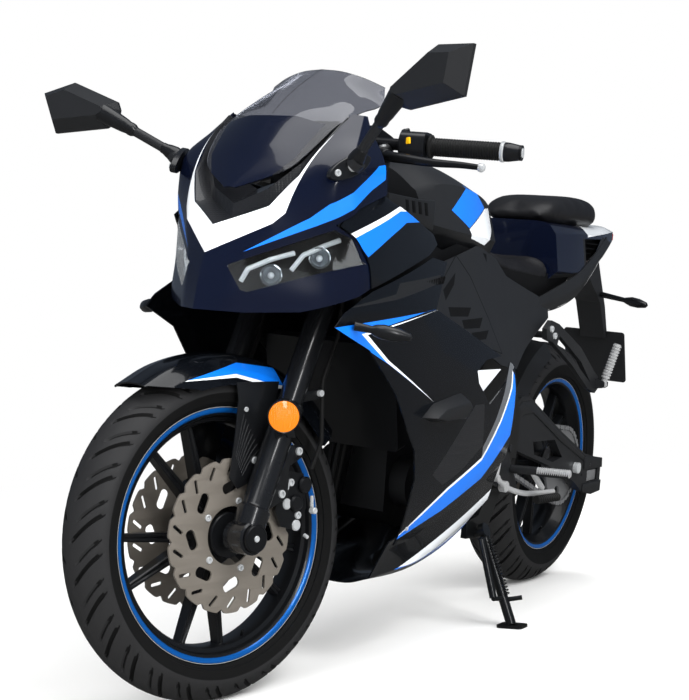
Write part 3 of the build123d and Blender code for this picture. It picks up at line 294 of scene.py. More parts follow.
# Rolled steel under a film of oil: the chain and its sprocket
CHAIN_STEEL = replace(PLATED, name="oiled_chain_steel", colour="#77787a", rough=0.34, relief=0.06)
# Glossy enamel on tubes, and a finer one on the fork
BLACK_STEEL = Finish("black_enamel_on_steel", "steel_dark", "#0c0d0e", 0.3, coat=0.4, texture_mm=2.0,
                     relief=0.05)
FORK_BLACK = Finish("satin_black_on_fork_tube", "fork_black", "#101113", 0.26, coat=0.5, texture_mm=2.0,
                    relief=0.03)
# Anodised aluminium keeps the metal's sheen under its black
HARD_BLACK = Finish("black_anodised_aluminium", "fork_black", "#141517", 0.3, metallic=0.4, texture_mm=0.7,
                    relief=0.06)
# Bare aluminium, brushed lengthwise
ALLOY = Finish("brushed_aluminium", "bracket_alloy", "#b9babb", 0.32, metallic=0.5, texture_mm=0.8,
               relief=0.1, stretch=(0.15, 1, 1))
# Soft moulded rubber of the grips and pegs: dull and even
RUBBER = Finish("soft_black_rubber", "rubber_black", "#121212", 0.6, texture_mm=0.8, relief=0.2)
# Pressed seat vinyl with a leather grain
VINYL = Finish("grained_seat_vinyl", "seat_vinyl", "#141416", 0.46, texture=Texture.CAST, texture_mm=1.4,
               relief=0.25)
# Sand-cast aluminium, left grey
GREY_CAST = Finish("grey_cast_engine_aluminium", "engine_grey", "#2a2b2d", 0.5, metallic=0.5,
                   texture=Texture.CAST, texture_mm=1.5, relief=0.2)
# Acrylic moulded with small ribs that break up the light
AMBER = Finish("ribbed_amber_acrylic", "reflector_amber", "#c96a08", 0.2, coat=0.6, texture=Texture.WEAVE,
               texture_mm=3.0, relief=0.6)
RED_LENS = replace(AMBER, name="red_acrylic_lens", slot="lamp_red", colour="#8a0a0c", rough=0.12, coat=0.8,
                   texture_mm=4.0, relief=0.4)
# Polycarbonate sheet, tinted for the screen and clear for the lamps
SMOKE = Finish("smoked_polycarbonate", "smoked_screen", "#6c6e76", 0.03, clear=0.92, mottle=0.0,
               texture_mm=9.0, relief=0.01, shine=0.35)
LENS = replace(SMOKE, name="clear_polycarbonate", slot="lamp_clear", colour="#f2f6f8", rough=0.02, clear=1.0,
               shine=0.5)
# Aluminium vapour on plastic bowls
CHROME = Finish("vacuum_metallised_reflector", "lamp_clear", "#9aa0a6", 0.16, metallic=0.7, texture_mm=4.0,
                relief=0.1)
# Milky acrylic that spreads the light of the lamps' bars
LIGHT_BAR = Finish("milky_light_guide", "lamp_clear", "#d5dade", 0.25, coat=0.5, glow=0.2, mottle=0.0)
# Near-black painted shade: in slots and creases, in the lamps' housings, and on sheets behind openings
SHADE_BLACK = Finish("painted_shade_black", "plastic_black", "#040405", 0.7, texture_mm=2.0, relief=0.05)
# Moulded ABS, yellow all through
YELLOW = Finish("yellow_switch_cap", "plastic_black", "#e0a90c", 0.35, texture_mm=1.0, relief=0.05)

# Mesh helpers


def curve_through(points: Sequence[Sequence[float]], steps: int,
                  corners: Sequence[int] = ()) -> list[Vector]:
    """A smooth line through points, by chord-length Hermite runs.

    Args:
        points: The points, in two or three dimensions.
        steps: How many parts each run gets.
        corners: Indices of the points where the line may turn sharply.

    Returns:
        The line's points, the given ones among them.
    """
    given = [Vector(p) for p in points]
    last = len(given) - 1
    chords = [max((b - a).length, 1e-6) for a, b in zip(given, given[1:])]
    line = []
    for i in range(last):
        run = given[i + 1] - given[i]
        size = chords[i]
        start = run / size
        end = run / size
        if i > 0 and i not in corners:
            start = (given[i + 1] - given[i - 1]) / (size + chords[i - 1])
        if i + 1 < last and i + 1 not in corners:
            end = (given[i + 2] - given[i]) / (size + chords[i + 1])
        for k in range(steps):
            t = k / steps
            a = 2 * t ** 3 - 3 * t ** 2 + 1
            b = t ** 3 - 2 * t ** 2 + t
            c = 3 * t ** 2 - 2 * t ** 3
            d = t ** 3 - t ** 2
            line.append(given[i] * a + start * (size * b) + given[i + 1] * c + end * (size * d))
    line.append(given[last])
    return line


def skin(bm: Mesh, rows: Sequence[Sequence[Point]], steps: int, row_corners: Sequence[int] = (),
         point_corners: Sequence[int] = ()) -> None:
    """A smooth sheet through rows of points, from a grid moved onto them.

    Args:
        bm: The mesh that gets it.
        rows: Rows with the same number of points each.
        steps: Parts between two given points.
        row_corners: Rows along which the sheet has a crease.
        point_corners: Places in each row along which it has a crease.
    """
    dense_rows = [curve_through(row, steps, point_corners) for row in rows]
    columns = [curve_through(column, steps, row_corners) for column in zip(*dense_rows)]
    wide, high = len(columns), len(columns[0])
    made = bmesh.ops.create_grid(bm, x_segments=wide - 1, y_segments=high - 1, size=1)
    for i, vert in enumerate(made["verts"]):
        vert.co = columns[i % wide][i // wide]


def inside(flat: Flat, outline: Sequence[Flat]) -> bool:
    """Whether a place lies inside an outline."""
    x, y = flat
    within = False
    for (ax, ay), (bx, by) in zip(outline, [*outline[1:], outline[0]]):
        if (ay > y) != (by > y) and x < (bx - ax) * (y - ay) / (by - ay) + ax:
            within = not within
    return within


def score(bm: Mesh, outline: Sequence[Flat], view: View) -> Faces:
    """Cuts the faces along an outline drawn in a view.

    Args:
        bm: The mesh to cut.
        outline: The outline's corners.
        view: The view that it is drawn in.

    Returns:
        The faces inside the outline.
    """
    into = view.deep((0, 0), 1)
    for a, b in zip(outline, [*outline[1:], outline[0]]):
        start, end = view.deep(a, 0), view.deep(b, 0)
        if (end - start).length < 1e-6:
            continue
        low = [min(a[i], b[i]) - CUT_REACH_MM for i in (0, 1)]
        high = [max(a[i], b[i]) + CUT_REACH_MM for i in (0, 1)]
        near = {}
        for face in bm.faces:
            flats = [view.flat(v.co) for v in face.verts]
            if all(max(f[i] for f in flats) >= low[i] and min(f[i] for f in flats) <= high[i]
                   for i in (0, 1)):
                near.update(dict.fromkeys((face, *face.edges, *face.verts)))
        if near:
            normal = (end - start).cross(into).normalized()
            bmesh.ops.bisect_plane(bm, geom=list(near), plane_co=start, plane_no=normal, dist=0.002)
    return [f for f in bm.faces if inside(view.flat(f.calc_center_median()), outline)]


def paint(bm: Mesh, outline: Sequence[Flat], view: View, number: int) -> None:
    """Gives the faces inside an outline another of the piece's finishes."""
    for face in score(bm, outline, view):
        face.material_index = number


def trim(bm: Mesh, outline: Sequence[Flat], view: View, keep: bool = True) -> None:
    """Cuts a sheet to an outline, or cuts the outline out of it."""
    within = set(score(bm, outline, view))
    bmesh.ops.delete(bm, geom=[f for f in bm.faces if (f in within) != keep], context="FACES")
    bmesh.ops.dissolve_degenerate(bm, dist=0.01, edges=bm.edges)


@contextmanager
def finished(bm: Mesh, number: int) -> Iterator[None]:
    """Gives the faces that are made inside the block another of the piece's finishes."""
    old = set(bm.faces)
    yield
    for face in set(bm.faces) - old:
        face.material_index = number


def face_out(bm: Mesh, middle: Point) -> None:
    """Turns an open sheet's faces away from a point inside."""
    bm.normal_update()
    total = sum(f.normal.dot(f.calc_center_median() - Vector(middle)) * f.calc_area() for f in bm.faces)
    if total < 0:
        bmesh.ops.reverse_faces(bm, faces=bm.faces)


def thicken(bm: Mesh, wall: float) -> None:
    """Gives an open sheet a wall behind its faces; the back and the rim take the first finish."""
    front = set(bm.faces)
    bm.normal_update()
    bmesh.ops.solidify(bm, geom=list(bm.faces), thickness=wall)
    for face in bm.faces:
        if face not in front:
            face.material_index = 0


def lathe(bm: Mesh, profile: Sequence[Flat], start: Spot, end: Spot, steps: int = ROUND_STEPS) -> Faces:
    """Turns a profile about the line from start to end.

    Args:
        bm: The mesh that gets it.
        profile: (distance along the line, radius) pairs; a closed shape starts and ends at radius 0.
        start: Where distance is 0.
        end: A point that the line runs to.
        steps: Parts round the line.

    Returns:
        The new faces.
    """
    foot = Vector(start)
    axis = (Vector(end) - foot).normalized()
    out = axis.orthogonal().normalized()
    old = set(bm.faces)
    verts = [bm.verts.new(foot + axis * along + out * max(radius, 0.0)) for along, radius in profile]
    edges = [bm.edges.new(pair) for pair in zip(verts, verts[1:])]
    bmesh.ops.spin(bm, geom=[*verts, *edges], cent=foot, axis=axis, angle=math.tau, steps=steps,
                   use_merge=True)
    bmesh.ops.remove_doubles(bm, verts=bm.verts, dist=0.001)
    made = [f for f in bm.faces if f not in old]
    bmesh.ops.recalc_face_normals(bm, faces=made)
    return made


def soften(bm: Mesh, faces: Faces, width: float, segments: int = 2) -> None:
    """Bevels the edges of some faces that turn by more than SHARP_DEGREES."""
    edges = {e for f in faces if f.is_valid for e in f.edges}
    limit = math.radians(SHARP_DEGREES)
    picked = [e for e in edges if len(e.link_faces) == 2 and e.calc_face_angle(0) > limit]
    if picked:
        bmesh.ops.bevel(bm, geom=picked, offset=width, affect="EDGES", segments=segments, profile=0.5,
                        material=-1, clamp_overlap=True)


def rod(bm: Mesh, start: Spot, end: Spot, radius: float, tip: float | None = None, edge: float = 1.0,
        steps: int = ROUND_STEPS) -> None:
    """A round bar with softened ends, which may taper to another radius."""
    length = (Vector(end) - Vector(start)).length
    last = radius if tip is None else tip
    edge = min(edge, length / 3, radius / 2, last / 2)
    lathe(bm, [(0, 0), (0, radius - edge), (edge, radius), (length - edge, last), (length, last - edge),
               (length, 0)], start, end, steps)


def slab(bm: Mesh, outline: Sequence[Flat], view: View, low: float, high: float,
         edge: float = 1.0) -> Faces:
    """An outline pulled out between two depths, with softened edges."""
    old = set(bm.faces)
    verts = [bm.verts.new(view.deep(p, low)) for p in outline]
    face = bm.faces.new(verts)
    moved = bmesh.ops.extrude_face_region(bm, geom=[face])
    shift = view.deep((0, 0), high - low)
    bmesh.ops.translate(bm, verts=[g for g in moved["geom"] if isinstance(g, bmesh.types.BMVert)], vec=shift)
    made = [f for f in bm.faces if f not in old]
    bmesh.ops.recalc_face_normals(bm, faces=made)
    if edge:
        soften(bm, made, edge)
    return [f for f in bm.faces if f not in old]


def add_curve(bm: Mesh, curve: bpy.types.Curve, place: Matrix) -> None:
    """Adds a curve's mesh at a place, and removes the curve."""
    holder = bpy.data.objects.new("route", curve)
    mesh = bpy.data.meshes.new_from_object(holder)
    mesh.transform(place)
    bm.from_mesh(mesh)
    bpy.data.objects.remove(holder)
    bpy.data.curves.remove(curve)
    bpy.data.meshes.remove(mesh)


def pipe(bm: Mesh, points: Sequence[Spot], radius: float, order: int = 3) -> None:
    """A round tube along a smooth NURBS line, with closed ends."""
    curve = bpy.data.curves.new("route", "CURVE")
    curve.dimensions = "3D"
    curve.bevel_depth = radius
    curve.bevel_resolution = 4
    curve.use_fill_caps = True
    spline = curve.splines.new("NURBS")
    spline.points.add(len(points) - 1)
    for knot, point in zip(spline.points, points):
        knot.co = (*point, 1)
    spline.order_u = order
    spline.use_endpoint_u = True
    add_curve(bm, curve, Matrix.Identity(4))


def loft(bm: Mesh, rings: Sequence[Sequence[Spot]]) -> None:
    """A solid through closed rings with the same number of points, capped at both ends."""
    old = set(bm.faces)
    loops = []
    for ring in rings:
        verts = [bm.verts.new(p) for p in ring]
        loops.append([bm.edges.new(pair) for pair in zip(verts, [*verts[1:], verts[0]])])
        if len(loops) in (1, len(rings)):
            bm.faces.new(verts)
    for a, b in zip(loops, loops[1:]):
        bmesh.ops.bridge_loops(bm, edges=[*a, *b])
    bmesh.ops.recalc_face_normals(bm, faces=[f for f in bm.faces if f not in old])


def mirrored(bm: Mesh) -> Mesh:
    """A copy for the other side of the machine."""
    other = bm.copy()
    bmesh.ops.scale(other, vec=(1, -1, 1), verts=other.verts)
    bmesh.ops.reverse_faces(other, faces=other.faces)
    return other


def mirror_in_place(bm: Mesh) -> None:
    """Adds the mirror image of a left half, joined along the middle."""
    bmesh.ops.mirror(bm, geom=[*bm.verts, *bm.edges, *bm.faces], axis="Y", merge_dist=0.2)
    bmesh.ops.recalc_face_normals(bm, faces=bm.faces)


def bolt(bm: Mesh, at: Spot, radius: float = 6, number: int = 0, out: Spot = TO_LEFT) -> None:
    """A cap screw's head with its hexagon socket, standing out of a face."""
    high = radius * 0.6
    profile = [(0, 0), (0, radius), (high - 0.8, radius), (high, radius - 0.8), (high, radius * 0.55),
               (high * 0.3, radius * 0.5), (high * 0.3, 0)]
    with finished(bm, number):
        lathe(bm, profile, at, Vector(at) + Vector(out), 12)


def around(centre: Point, radius: float, turn: float, y: float = 0.0) -> Vector:
    """A place at a radius and an angle round an axle, y to the left of its centre."""
    return Vector(centre) + Vector((radius * math.cos(turn), y, radius * math.sin(turn)))


def between(start: Spot, end: Spot, share: float) -> Vector:
    """A place on the line from start to end."""
    return Vector(start).lerp(Vector(end), share)


def settle(bm: Mesh, name: str, body: str, finishes: Sequence[Finish], nodes: Sequence[str] = (),
           steered: bool = False, smooth: float = 34) -> bpy.types.Object:
    """Sets a drawn piece down as it parks.

    Args:
        bm: The piece's mesh, in drawing millimetres. It is freed.
        name: The piece's name.
        body: The CAD body that it rides on.
        finishes: Its finishes.
        nodes: The CAD nodes that it replaces.
        steered: Whether it turns with the steering.
        smooth: The angle in degrees over which an edge is sharp.

    Returns:
        The finished object.
    """
    bmesh.ops.transform(bm, matrix=STEERED if steered else PARKED, verts=bm.verts)
    mesh = bpy.data.meshes.new(name)
    bm.to_mesh(mesh)
    bm.free()
    for finish in finishes:
        mesh.materials.append(finish.material())
    mesh.shade_smooth()
    mesh.set_sharp_from_angle(angle=math.radians(smooth))
    piece = bpy.data.objects.new(name, mesh)
    bpy.context.scene.collection.objects.link(piece)
    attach(piece, body)
    if nodes:
        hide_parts(*nodes)
    LOG.info("%s: %d faces on %s", name, len(mesh.polygons), body)
    return piece


def settle_front(bm: Mesh, name: str, finishes: Sequence[Finish], nodes: Sequence[str] = ()) -> None:
    """Sets down a left half and its mirror image as one piece of the steered front end."""
    mirror_in_place(bm)
    settle(bm, name, "front_end", finishes, nodes, steered=True)


def settle_pair(bm: Mesh, name: str, finishes: Sequence[Finish], nodes: Sequence[str] = ()) -> None:
    """Sets down a left-hand piece and its mirror image; each node name gets its side's word."""
    other = mirrored(bm)
    for side, part in ((Side.LEFT, bm), (Side.RIGHT, other)):
        settle(part, f"{name}_{side.word}", "chassis", finishes, [f"{n}_{side.word}" for n in nodes])


def settle_plates(name: str, finish: Finish, plates: Sequence[Plate]) -> None:
    """Sets down plates and their mirror image, each with its outline from the side, depths and edge."""
    bm = bmesh.new()
    for outline, low, high, edge in plates:
        slab(bm, outline, View.SIDE, low, high, edge)
    settle_pair(bm, name, (finish,))


def dress(node: str, finish: Finish, bevel: float = 0.0) -> None:
    """Gives a CAD node that keeps its shape a finish, and softened edges."""
    shape = frame["nodes"][node]
    shape.data.materials.clear()
    shape.data.materials.append(finish.material())
    if bevel:
        soft = shape.modifiers.new("edges", "BEVEL")
        soft.width = bevel * MM
        soft.segments = 2
        soft.limit_method = "ANGLE"
        soft.angle_limit = math.radians(BEVEL_DEGREES)
    LOG.info("%s keeps its CAD shape", node)


# Wheels


def perforated(bm: Mesh, loops: Sequence[Sequence[Flat]], thick: float, edge: float, place: Matrix) -> None:
    """A flat plate with holes.

    Args:
        bm: The mesh that gets it.
        loops: The outline and the holes, as closed lines.
        thick: The plate's thickness, half of it each way from its plane.
        edge: How far its edges are softened.
        place: Where the plate goes.
    """
    curve = bpy.data.curves.new("plate", "CURVE")
    curve.dimensions = "2D"
    curve.fill_mode = "BOTH"
    curve.extrude = thick / 2 - edge
    curve.bevel_depth = edge
    curve.bevel_resolution = 1
    curve.offset = -edge
    for loop in loops:
        line = curve.splines.new("POLY")
        line.points.add(len(loop) - 1)
        for knot, (x, y) in zip(line.points, loop):
            knot.co = (x, y, 0, 1)
        line.use_cyclic_u = True
    add_curve(bm, curve, place)
    bmesh.ops.remove_doubles(bm, verts=bm.verts, dist=0.01)


@dataclass(frozen=True)
class WheelSize:
    """One wheel's tyre and rim, in millimetres."""

    centre: Point
    outer: float
    half: float
    edge: float
    bead: float
    rim_half: float
    hub_half: float
    body: str
    steered: bool
    prefix: str

    @property
    def crown(self) -> float:
        """Radius of the arc over the tread."""
        fall = self.outer - self.edge
        return (self.half ** 2 + fall ** 2) / (2 * fall)

    def tread_radius(self, across: float) -> float:
        """The tread's radius at a distance from the middle."""
        return self.outer - self.crown + math.sqrt(self.crown ** 2 - across ** 2)


FRONT = WheelSize(FRONT_AXLE, 293, 53, 256, 226, 40, 55, "front_wheel", True, "front")
REAR = WheelSize(REAR_AXLE, 314, 67, 268, 226, 52, 48, "rear_wheel", False, "rear")
FRONT_DISC_FACE = 55.3
REAR_DISC_FACE = -48.3


@dataclass
class Tyre:
    """A road tyre: swept grooves on both shoulders, rounded side walls, and a ring by the bead."""

    size: WheelSize
    pitches: int = 26
    sweep_mm: float = 62
    sweep_power: float = 1.3
    groove_mm: float = 4.0
    shaded_from: float = 0.45
    wall_mark: float = 2.0
    shares: tuple[float, ...] = (0, 0.05, 0.10, 0.15, 0.25, 0.36, 0.41, 0.46, 0.5, 0.55, 0.60, 0.65, 0.75,
                                 0.86, 0.91, 0.96)
    across: tuple[float, ...] = (0, 0.10, 0.17, 0.24, 0.33, 0.42, 0.5, 0.58, 0.66, 0.74, 0.82, 0.9, 0.96,
                                 1.0)

    def groove(self, share: float, across: float, side: int) -> float:
        """How deep the tread is cut, from 0 to 1, at a share of the pitch."""
        turned = (share + (0.5 if side < 0 else 0)) % 1
        if 0.01 < turned < 0.12 and 0.12 < across < 0.97:
            return 1.0 if 0.17 < across < 0.93 else 0.4
        if 0.4 < turned < 0.47 and 0.4 < across < 0.92:
            return 0.8
        return 0.0

    def profile(self) -> list[tuple[float, float, float]]:
        """(across share, y, radius) from the left bead over the tread to the right bead."""
        size = self.size
        low = [(size.rim_half - 7, size.bead), (size.rim_half + 3, size.bead),
               (size.rim_half + 6, size.bead + 4), (size.rim_half + 7, size.bead + 6.5),
               (size.rim_half + 9.5, size.bead + 7),
               (size.half - 1, (size.edge + size.bead) / 2 + 2), (size.half + 0.8, size.edge - 7)]
        wall = [(self.wall_mark, y, r) for y, r in low]
        tread = [(a, size.half * a, size.tread_radius(size.half * a)) for a in reversed(self.across)]
        left = [*wall, *tread]
        return [*left, *[(a, -y, r) for a, y, r in reversed(left[:-1])]]

    def build(self) -> None:
        """Makes the tyre."""
        size = self.size
        line = self.profile()
        columns = self.pitches * len(self.shares)
        bm = bmesh.new()
        made = bmesh.ops.create_grid(bm, x_segments=columns, y_segments=len(line) - 1, size=1)
        for i, vert in enumerate(made["verts"]):
            row, column = divmod(i, columns + 1)
            pitch, step = divmod(column, len(self.shares))
            share = self.shares[step]
            across, y, radius = line[row]
            lean = min(across, 1.0) ** self.sweep_power * self.sweep_mm / size.outer
            if across < self.wall_mark:
                radius -= self.groove_mm * self.groove(share, across, 1 if y > 0 else -1)
            vert.co = around(size.centre, radius, math.tau * (pitch + share) / self.pitches + lean, y)
        bmesh.ops.remove_doubles(bm, verts=bm.verts, dist=0.05)
        bmesh.ops.recalc_face_normals(bm, faces=bm.faces)
        # Faces deep in the grooves take the darker rubber: painted shade
        for face in bm.faces:
            co = face.calc_center_median() - Vector(size.centre)
            depth = size.tread_radius(co.y) - math.hypot(co.x, co.z)
            if abs(co.y) < size.half and depth > self.groove_mm * self.shaded_from:
                face.material_index = 1
        wall = size.rim_half + 9.5
        for side in (-1, 1):
            for radius, high in ((size.bead + 17, 0.7), (size.edge - 14, 0.5)):
                share = (radius - size.bead - 7) / (size.edge - size.bead - 14)
                offset = side * (wall + (size.half - wall) * share - 0.6)
                start = Vector(size.centre) + Vector((0, offset, 0))
                ring = [(-1.5, radius - 1), (high, radius - 0.5), (high, radius + 0.5), (-1.5, radius + 1)]
                lathe(bm, ring, start, start + Vector((0, side, 0)), 96)
        settle(bm, f"{size.prefix}_road_tyre", size.body, (TREAD, GROOVE), (f"{size.prefix}_tyre",),
               size.steered, 24)


@dataclass
class Rim:
    """A cast wheel: a stepped barrel, five pairs of channelled spokes, a hub and a stripe on each flange."""

    size: WheelSize
    pairs: int = 5
    first: float = 62
    root: float = 52
    reach: float = 203
    spread: Flat = (7, 46)
    width: Flat = (19, 13)
    thick: Flat = (30, 22)
    valve_turn: float = 4.4
    stripe: tuple[Flat, ...] = ((-3.4, 213.6), (-0.4, 216.6), (0.35, 219), (0.35, 222.2), (-0.6, 222.4))
    flange: tuple[Flat, ...] = ((-1.0, 223.0), (0.35, 223.2), (0.35, 224.0), (-1.0, 224.2))

    def barrel(self, bm: Mesh) -> None:
        """The rim and its flanges."""
        half, bead = self.size.rim_half, self.size.bead
        left = [(18, 196.5), (24, 199), (half - 13, 206), (half - 6, 209), (half - 3, 214.5),
                (half - 0.8, 216.5), (half, 219), (half, 223), (half - 1.5, bead - 0.6),
                (half - 5.5, bead - 0.6), (half - 6.5, 222), (half - 6.7, 217)]
        profile = [*left, *[(-y, r) for y, r in reversed(left)], left[0]]
        lathe(bm, profile, self.size.centre, Vector(self.size.centre) + Vector(TO_LEFT), 96)

    def spoke(self, bm: Mesh, turn: float, side: int) -> None:
        """One channelled spoke that fans out from the hub."""
        rings = []
        for share in (0, 0.12, 0.5, 0.9, 1):
            (radius, shift, w, t) = (low + (high - low) * share for low, high in (
                (self.root, self.reach), self.spread, self.width, self.thick))
            w, t = w / 2 * (1.45 if share == 1 else 1), t / 2
            cut = 0 if share in (0, 1) else 3
            half = [(-w, -t + 2), (-w + 2, -t), (-w * 0.4, -t), (0, -t + cut), (w * 0.4, -t), (w - 2, -t),
                    (w, -t + 2)]
            across = Vector((-math.sin(turn), 0, math.cos(turn)))
            rings.append([around(self.size.centre, radius, turn, y) + across * (side * shift + a)
                          for a, y in [*half, *[(-a, -y) for a, y in half]]])
        loft(bm, rings)

    def build(self) -> None:
        """Makes the rim with its stripes."""
        size = self.size
        start = Vector(size.centre)
        bm = bmesh.new()
        self.barrel(bm)
        for i in range(self.pairs):
            for side in (-1, 1):
                self.spoke(bm, math.radians(self.first + 360 / self.pairs * i), side)
        h = size.hub_half
        hub = [(h, 9), (h, 38), (h - 2, 40), (h - 10, 40), (h - 14, 34), (18, 32), (14, 56), (12, 58)]
        lathe(bm, [*[(-y, r) for y, r in hub], *reversed(hub), (-h, 9)], start, start + Vector(TO_LEFT), 48)
        rod(bm, around(start, 207, self.valve_turn, 8), around(start, 186, self.valve_turn, 22), 4, 3, 0.8,
            12)
        settle(bm, f"{size.prefix}_cast_wheel", size.body, (CAST_BLACK,), (f"{size.prefix}_rim",),
               size.steered)
        bm = bmesh.new()
        for side in (-1, 1):
            flank = start + Vector((0, side * size.rim_half, 0))
            for number, band in enumerate((self.stripe, self.flange)):
                with finished(bm, number):
                    lathe(bm, band, flank, flank + Vector((0, side, 0)), 96)
        settle(bm, f"{size.prefix}_rim_stripe", size.body, (RIM_TAPE, PLATED), (), size.steered)


@dataclass
class WaveDisc:
    """A wave brake disc with windows, slanted slots and its bolts."""

    radius: float = 135
    bore: float = 51
    thick: float = 4.5
    waves: int = 18
    windows: int = 8
    bolts: int = 5
    notch: float = 7

    def hole(self, radius: float, turn: float, long: float, wide: float, slant: float) -> list[Flat]:
        """A rounded opening, long across the radius and turned by a slant."""
        line = []
        corner = wide / 2 * 0.9
        for i in range(20):
            a = math.tau * i / 20
            u = math.copysign(long / 2 - corner, math.cos(a)) + corner * math.cos(a)
            v = math.copysign(wide / 2 - corner, math.sin(a)) + corner * math.sin(a)
            x = radius + u * math.cos(slant) - v * math.sin(slant)
            y = u * math.sin(slant) + v * math.cos(slant)
            line.append((x * math.cos(turn) - y * math.sin(turn), x * math.sin(turn) + y * math.cos(turn)))
        return line

    def loops(self) -> list[list[Flat]]:
        """The scalloped outline, the bore and every opening."""
        turns = [math.tau * i / (self.waves * 12) for i in range(self.waves * 12)]
        edge = [self.radius - 0.5 - self.notch * max(0.0, math.cos(self.waves * turn)) ** 3
                for turn in turns]
        loops = [[(r * math.cos(turn), r * math.sin(turn)) for r, turn in zip(edge, turns)],
                 [(self.bore * math.cos(math.tau * i / 48), self.bore * math.sin(math.tau * i / 48))
                  for i in range(48)]]
        k = self.radius / 135
        for i in range(self.windows):
            loops.append(self.hole(85 * k, math.tau * i / self.windows, 36 * k, 19 * k, 1.2))
        for i in range(self.waves):
            slant = 0.75 if i % 2 else 0.5
            loops.append(self.hole(116 * k, math.tau * (i + 0.5) / self.waves, 24 * k, 6.4, slant))
        return loops

    def build(self, size: WheelSize, faces: Sequence[float], name: str, node: str) -> None:
        """Makes the discs whose middles are at the given distances from the centre plane."""
        bm = bmesh.new()
        for y in faces:
            place = Matrix.Translation((size.centre[0], y, size.centre[2]))
            place = place @ Matrix.Rotation(math.pi / 2, 4, "X")
            perforated(bm, self.loops(), self.thick, 0.4, place)
            out = 1 if y > 0 else -1
            for i in range(self.bolts):
                spot = around(size.centre, self.bore + 10.5, math.tau * i / self.bolts + 0.6,
                              y + out * (self.thick / 2 - 0.1))
                bolt(bm, spot, 6.2, 1, (0, out, 0))
        settle(bm, name, size.body, (GROUND_STEEL, PLATED), (node,), size.steered)


def build_wheels() -> None:
    """Both wheels with their discs."""
    for size in (FRONT, REAR):
        Tyre(size).build()
        Rim(size).build()
    front_y, rear_y = FRONT_DISC_FACE + WaveDisc.thick / 2, REAR_DISC_FACE - WaveDisc.thick / 2
    WaveDisc().build(FRONT, (front_y, -front_y), "front_wave_discs", "front_discs")
    WaveDisc(110, 38).build(REAR, (rear_y,), "rear_wave_disc", "rear_disc")


# Body panels


@dataclass(frozen=True)
class Decal:
    """A stripe or another finish laid on a panel: an outline in a view and the finish's number."""

    outline: tuple[Flat, ...]
    finish: int
    view: View = View.SIDE


@dataclass
class Panel:
    """One moulded shell, drawn for the left side or across the middle."""

    name: str
    nodes: tuple[str, ...]
    rows: list[list[Point]]
    finishes: tuple[Finish, ...]
    outline: tuple[Flat, ...] = ()
    holes: tuple[tuple[tuple[Flat, ...], View], ...] = ()
    decals: tuple[Decal, ...] = ()
    point_corners: tuple[int, ...] = ()
    steps: int = 5
    wall: float = 3.0
    middle: Point = (900, 0, 600)
    whole: bool = False

    def sheet(self) -> Mesh:
        """The panel's outer face, trimmed and striped."""
        bm = bmesh.new()
        skin(bm, self.rows, self.steps, (), self.point_corners)
        face_out(bm, self.middle)
        if self.outline:
            trim(bm, self.outline, View.SIDE)
        for outline, view in self.holes:
            trim(bm, outline, view, keep=False)
        for decal in self.decals:
            paint(bm, decal.outline, decal.view, decal.finish)
        return bm

    def build(self) -> None:
        """Makes the panel, and its mirror image as a part of it or as a second one."""
        bm = self.sheet()
        thicken(bm, self.wall)
        if self.whole:
            mirror_in_place(bm)
            settle(bm, self.name, "chassis", self.finishes, self.nodes)
        else:
            settle_pair(bm, self.name, self.finishes, self.nodes)

    def shell(self, push: Flat) -> None:
        """Makes the panel as a closed form, with its ends crowned by push millimetres."""
        bm = self.sheet()
        for row, crown in zip((self.rows[0], self.rows[-1]), push):
            end_cap(bm, row, self.steps, self.point_corners, crown)
        bmesh.ops.remove_doubles(bm, verts=bm.verts, dist=0.05)
        mirror_in_place(bm)
        settle(bm, self.name, "chassis", self.finishes, self.nodes)


def end_cap(bm: Mesh, row: Sequence[Point], steps: int, corners: Sequence[int], push: float) -> None:
    """A slightly crowned end over a row of points, down to the middle plane."""
    line = curve_through(row, steps, corners)
    centre = Vector((line[0].x + push, 0, (min(p.z for p in line) + max(p.z for p in line)) / 2))
    hub = bm.verts.new(centre)
    rim = [bm.verts.new(p) for p in line]
    ring = [bm.verts.new((line[0].x, 0, line[0].z)), *rim]
    for a, b in zip(ring, ring[1:]):
        bm.faces.new((hub, a, b))


def stations(table: Sequence[tuple[float, Sequence[Flat]]]) -> list[list[Point]]:
    """Rows across the machine from (x, [(y, z), ...])."""
    return [[(x, y, z) for y, z in points] for x, points in table]


SIDE_SHELL = stations([
    (1380, [(150, 180), (185, 300), (205, 520), (205, 690), (190, 790)]),
    (1170, [(150, 185), (200, 290), (232, 520), (222, 715), (195, 880)]),
    (960, [(160, 215), (212, 340), (240, 520), (225, 690), (185, 855)]),
    (760, [(165, 255), (222, 390), (240, 530), (225, 640), (170, 800)]),
    (560, [(165, 300), (215, 430), (232, 560), (215, 640), (150, 760)]),
])
SIDE_OUTLINE = ((1365, 678), (1264, 640), (1179, 560), (1136, 503), (1090, 453), (1065, 394), (1063, 340),
                (1058, 262), (1000, 262), (871, 305), (731, 358), (652, 400), (658, 444), (672, 604),
                (1036, 716), (962, 806), (1030, 812), (1258, 742), (1340, 702))
VENT = ((862, 597), (815, 618), (716, 626), (690, 616), (722, 572), (803, 528), (856, 572))
ARROW_BLUE = ((1365, 678), (1016, 718), (1084, 710), (1289, 668), (1213, 619), (1045, 543), (1203, 614))
ARROW_WHITE = ((1016, 718), (1289, 668), (1213, 619), (1045, 543), (1207, 622), (1272, 667), (1084, 705))
SICKLE_EDGE = ((1094, 266), (990, 316), (910, 359), (790, 411), (731, 491), (692, 557), (682, 590))
SICKLE_BLUE = (*SICKLE_EDGE, (676, 584), (670, 500), (664, 455), (758, 369), (899, 315))
SICKLE_WHITE = (*SICKLE_EDGE, (686, 594), (697, 561), (736, 495), (794, 417), (913, 365), (992, 322))
# The vent's rear edge, where a lighter grey paints a highlight
VENT_EDGE_HIGHLIGHT = ((674, 600), (692, 618), (716, 580), (735, 545), (762, 495), (801, 440), (794, 417), (736, 495),
        (697, 561), (686, 594))
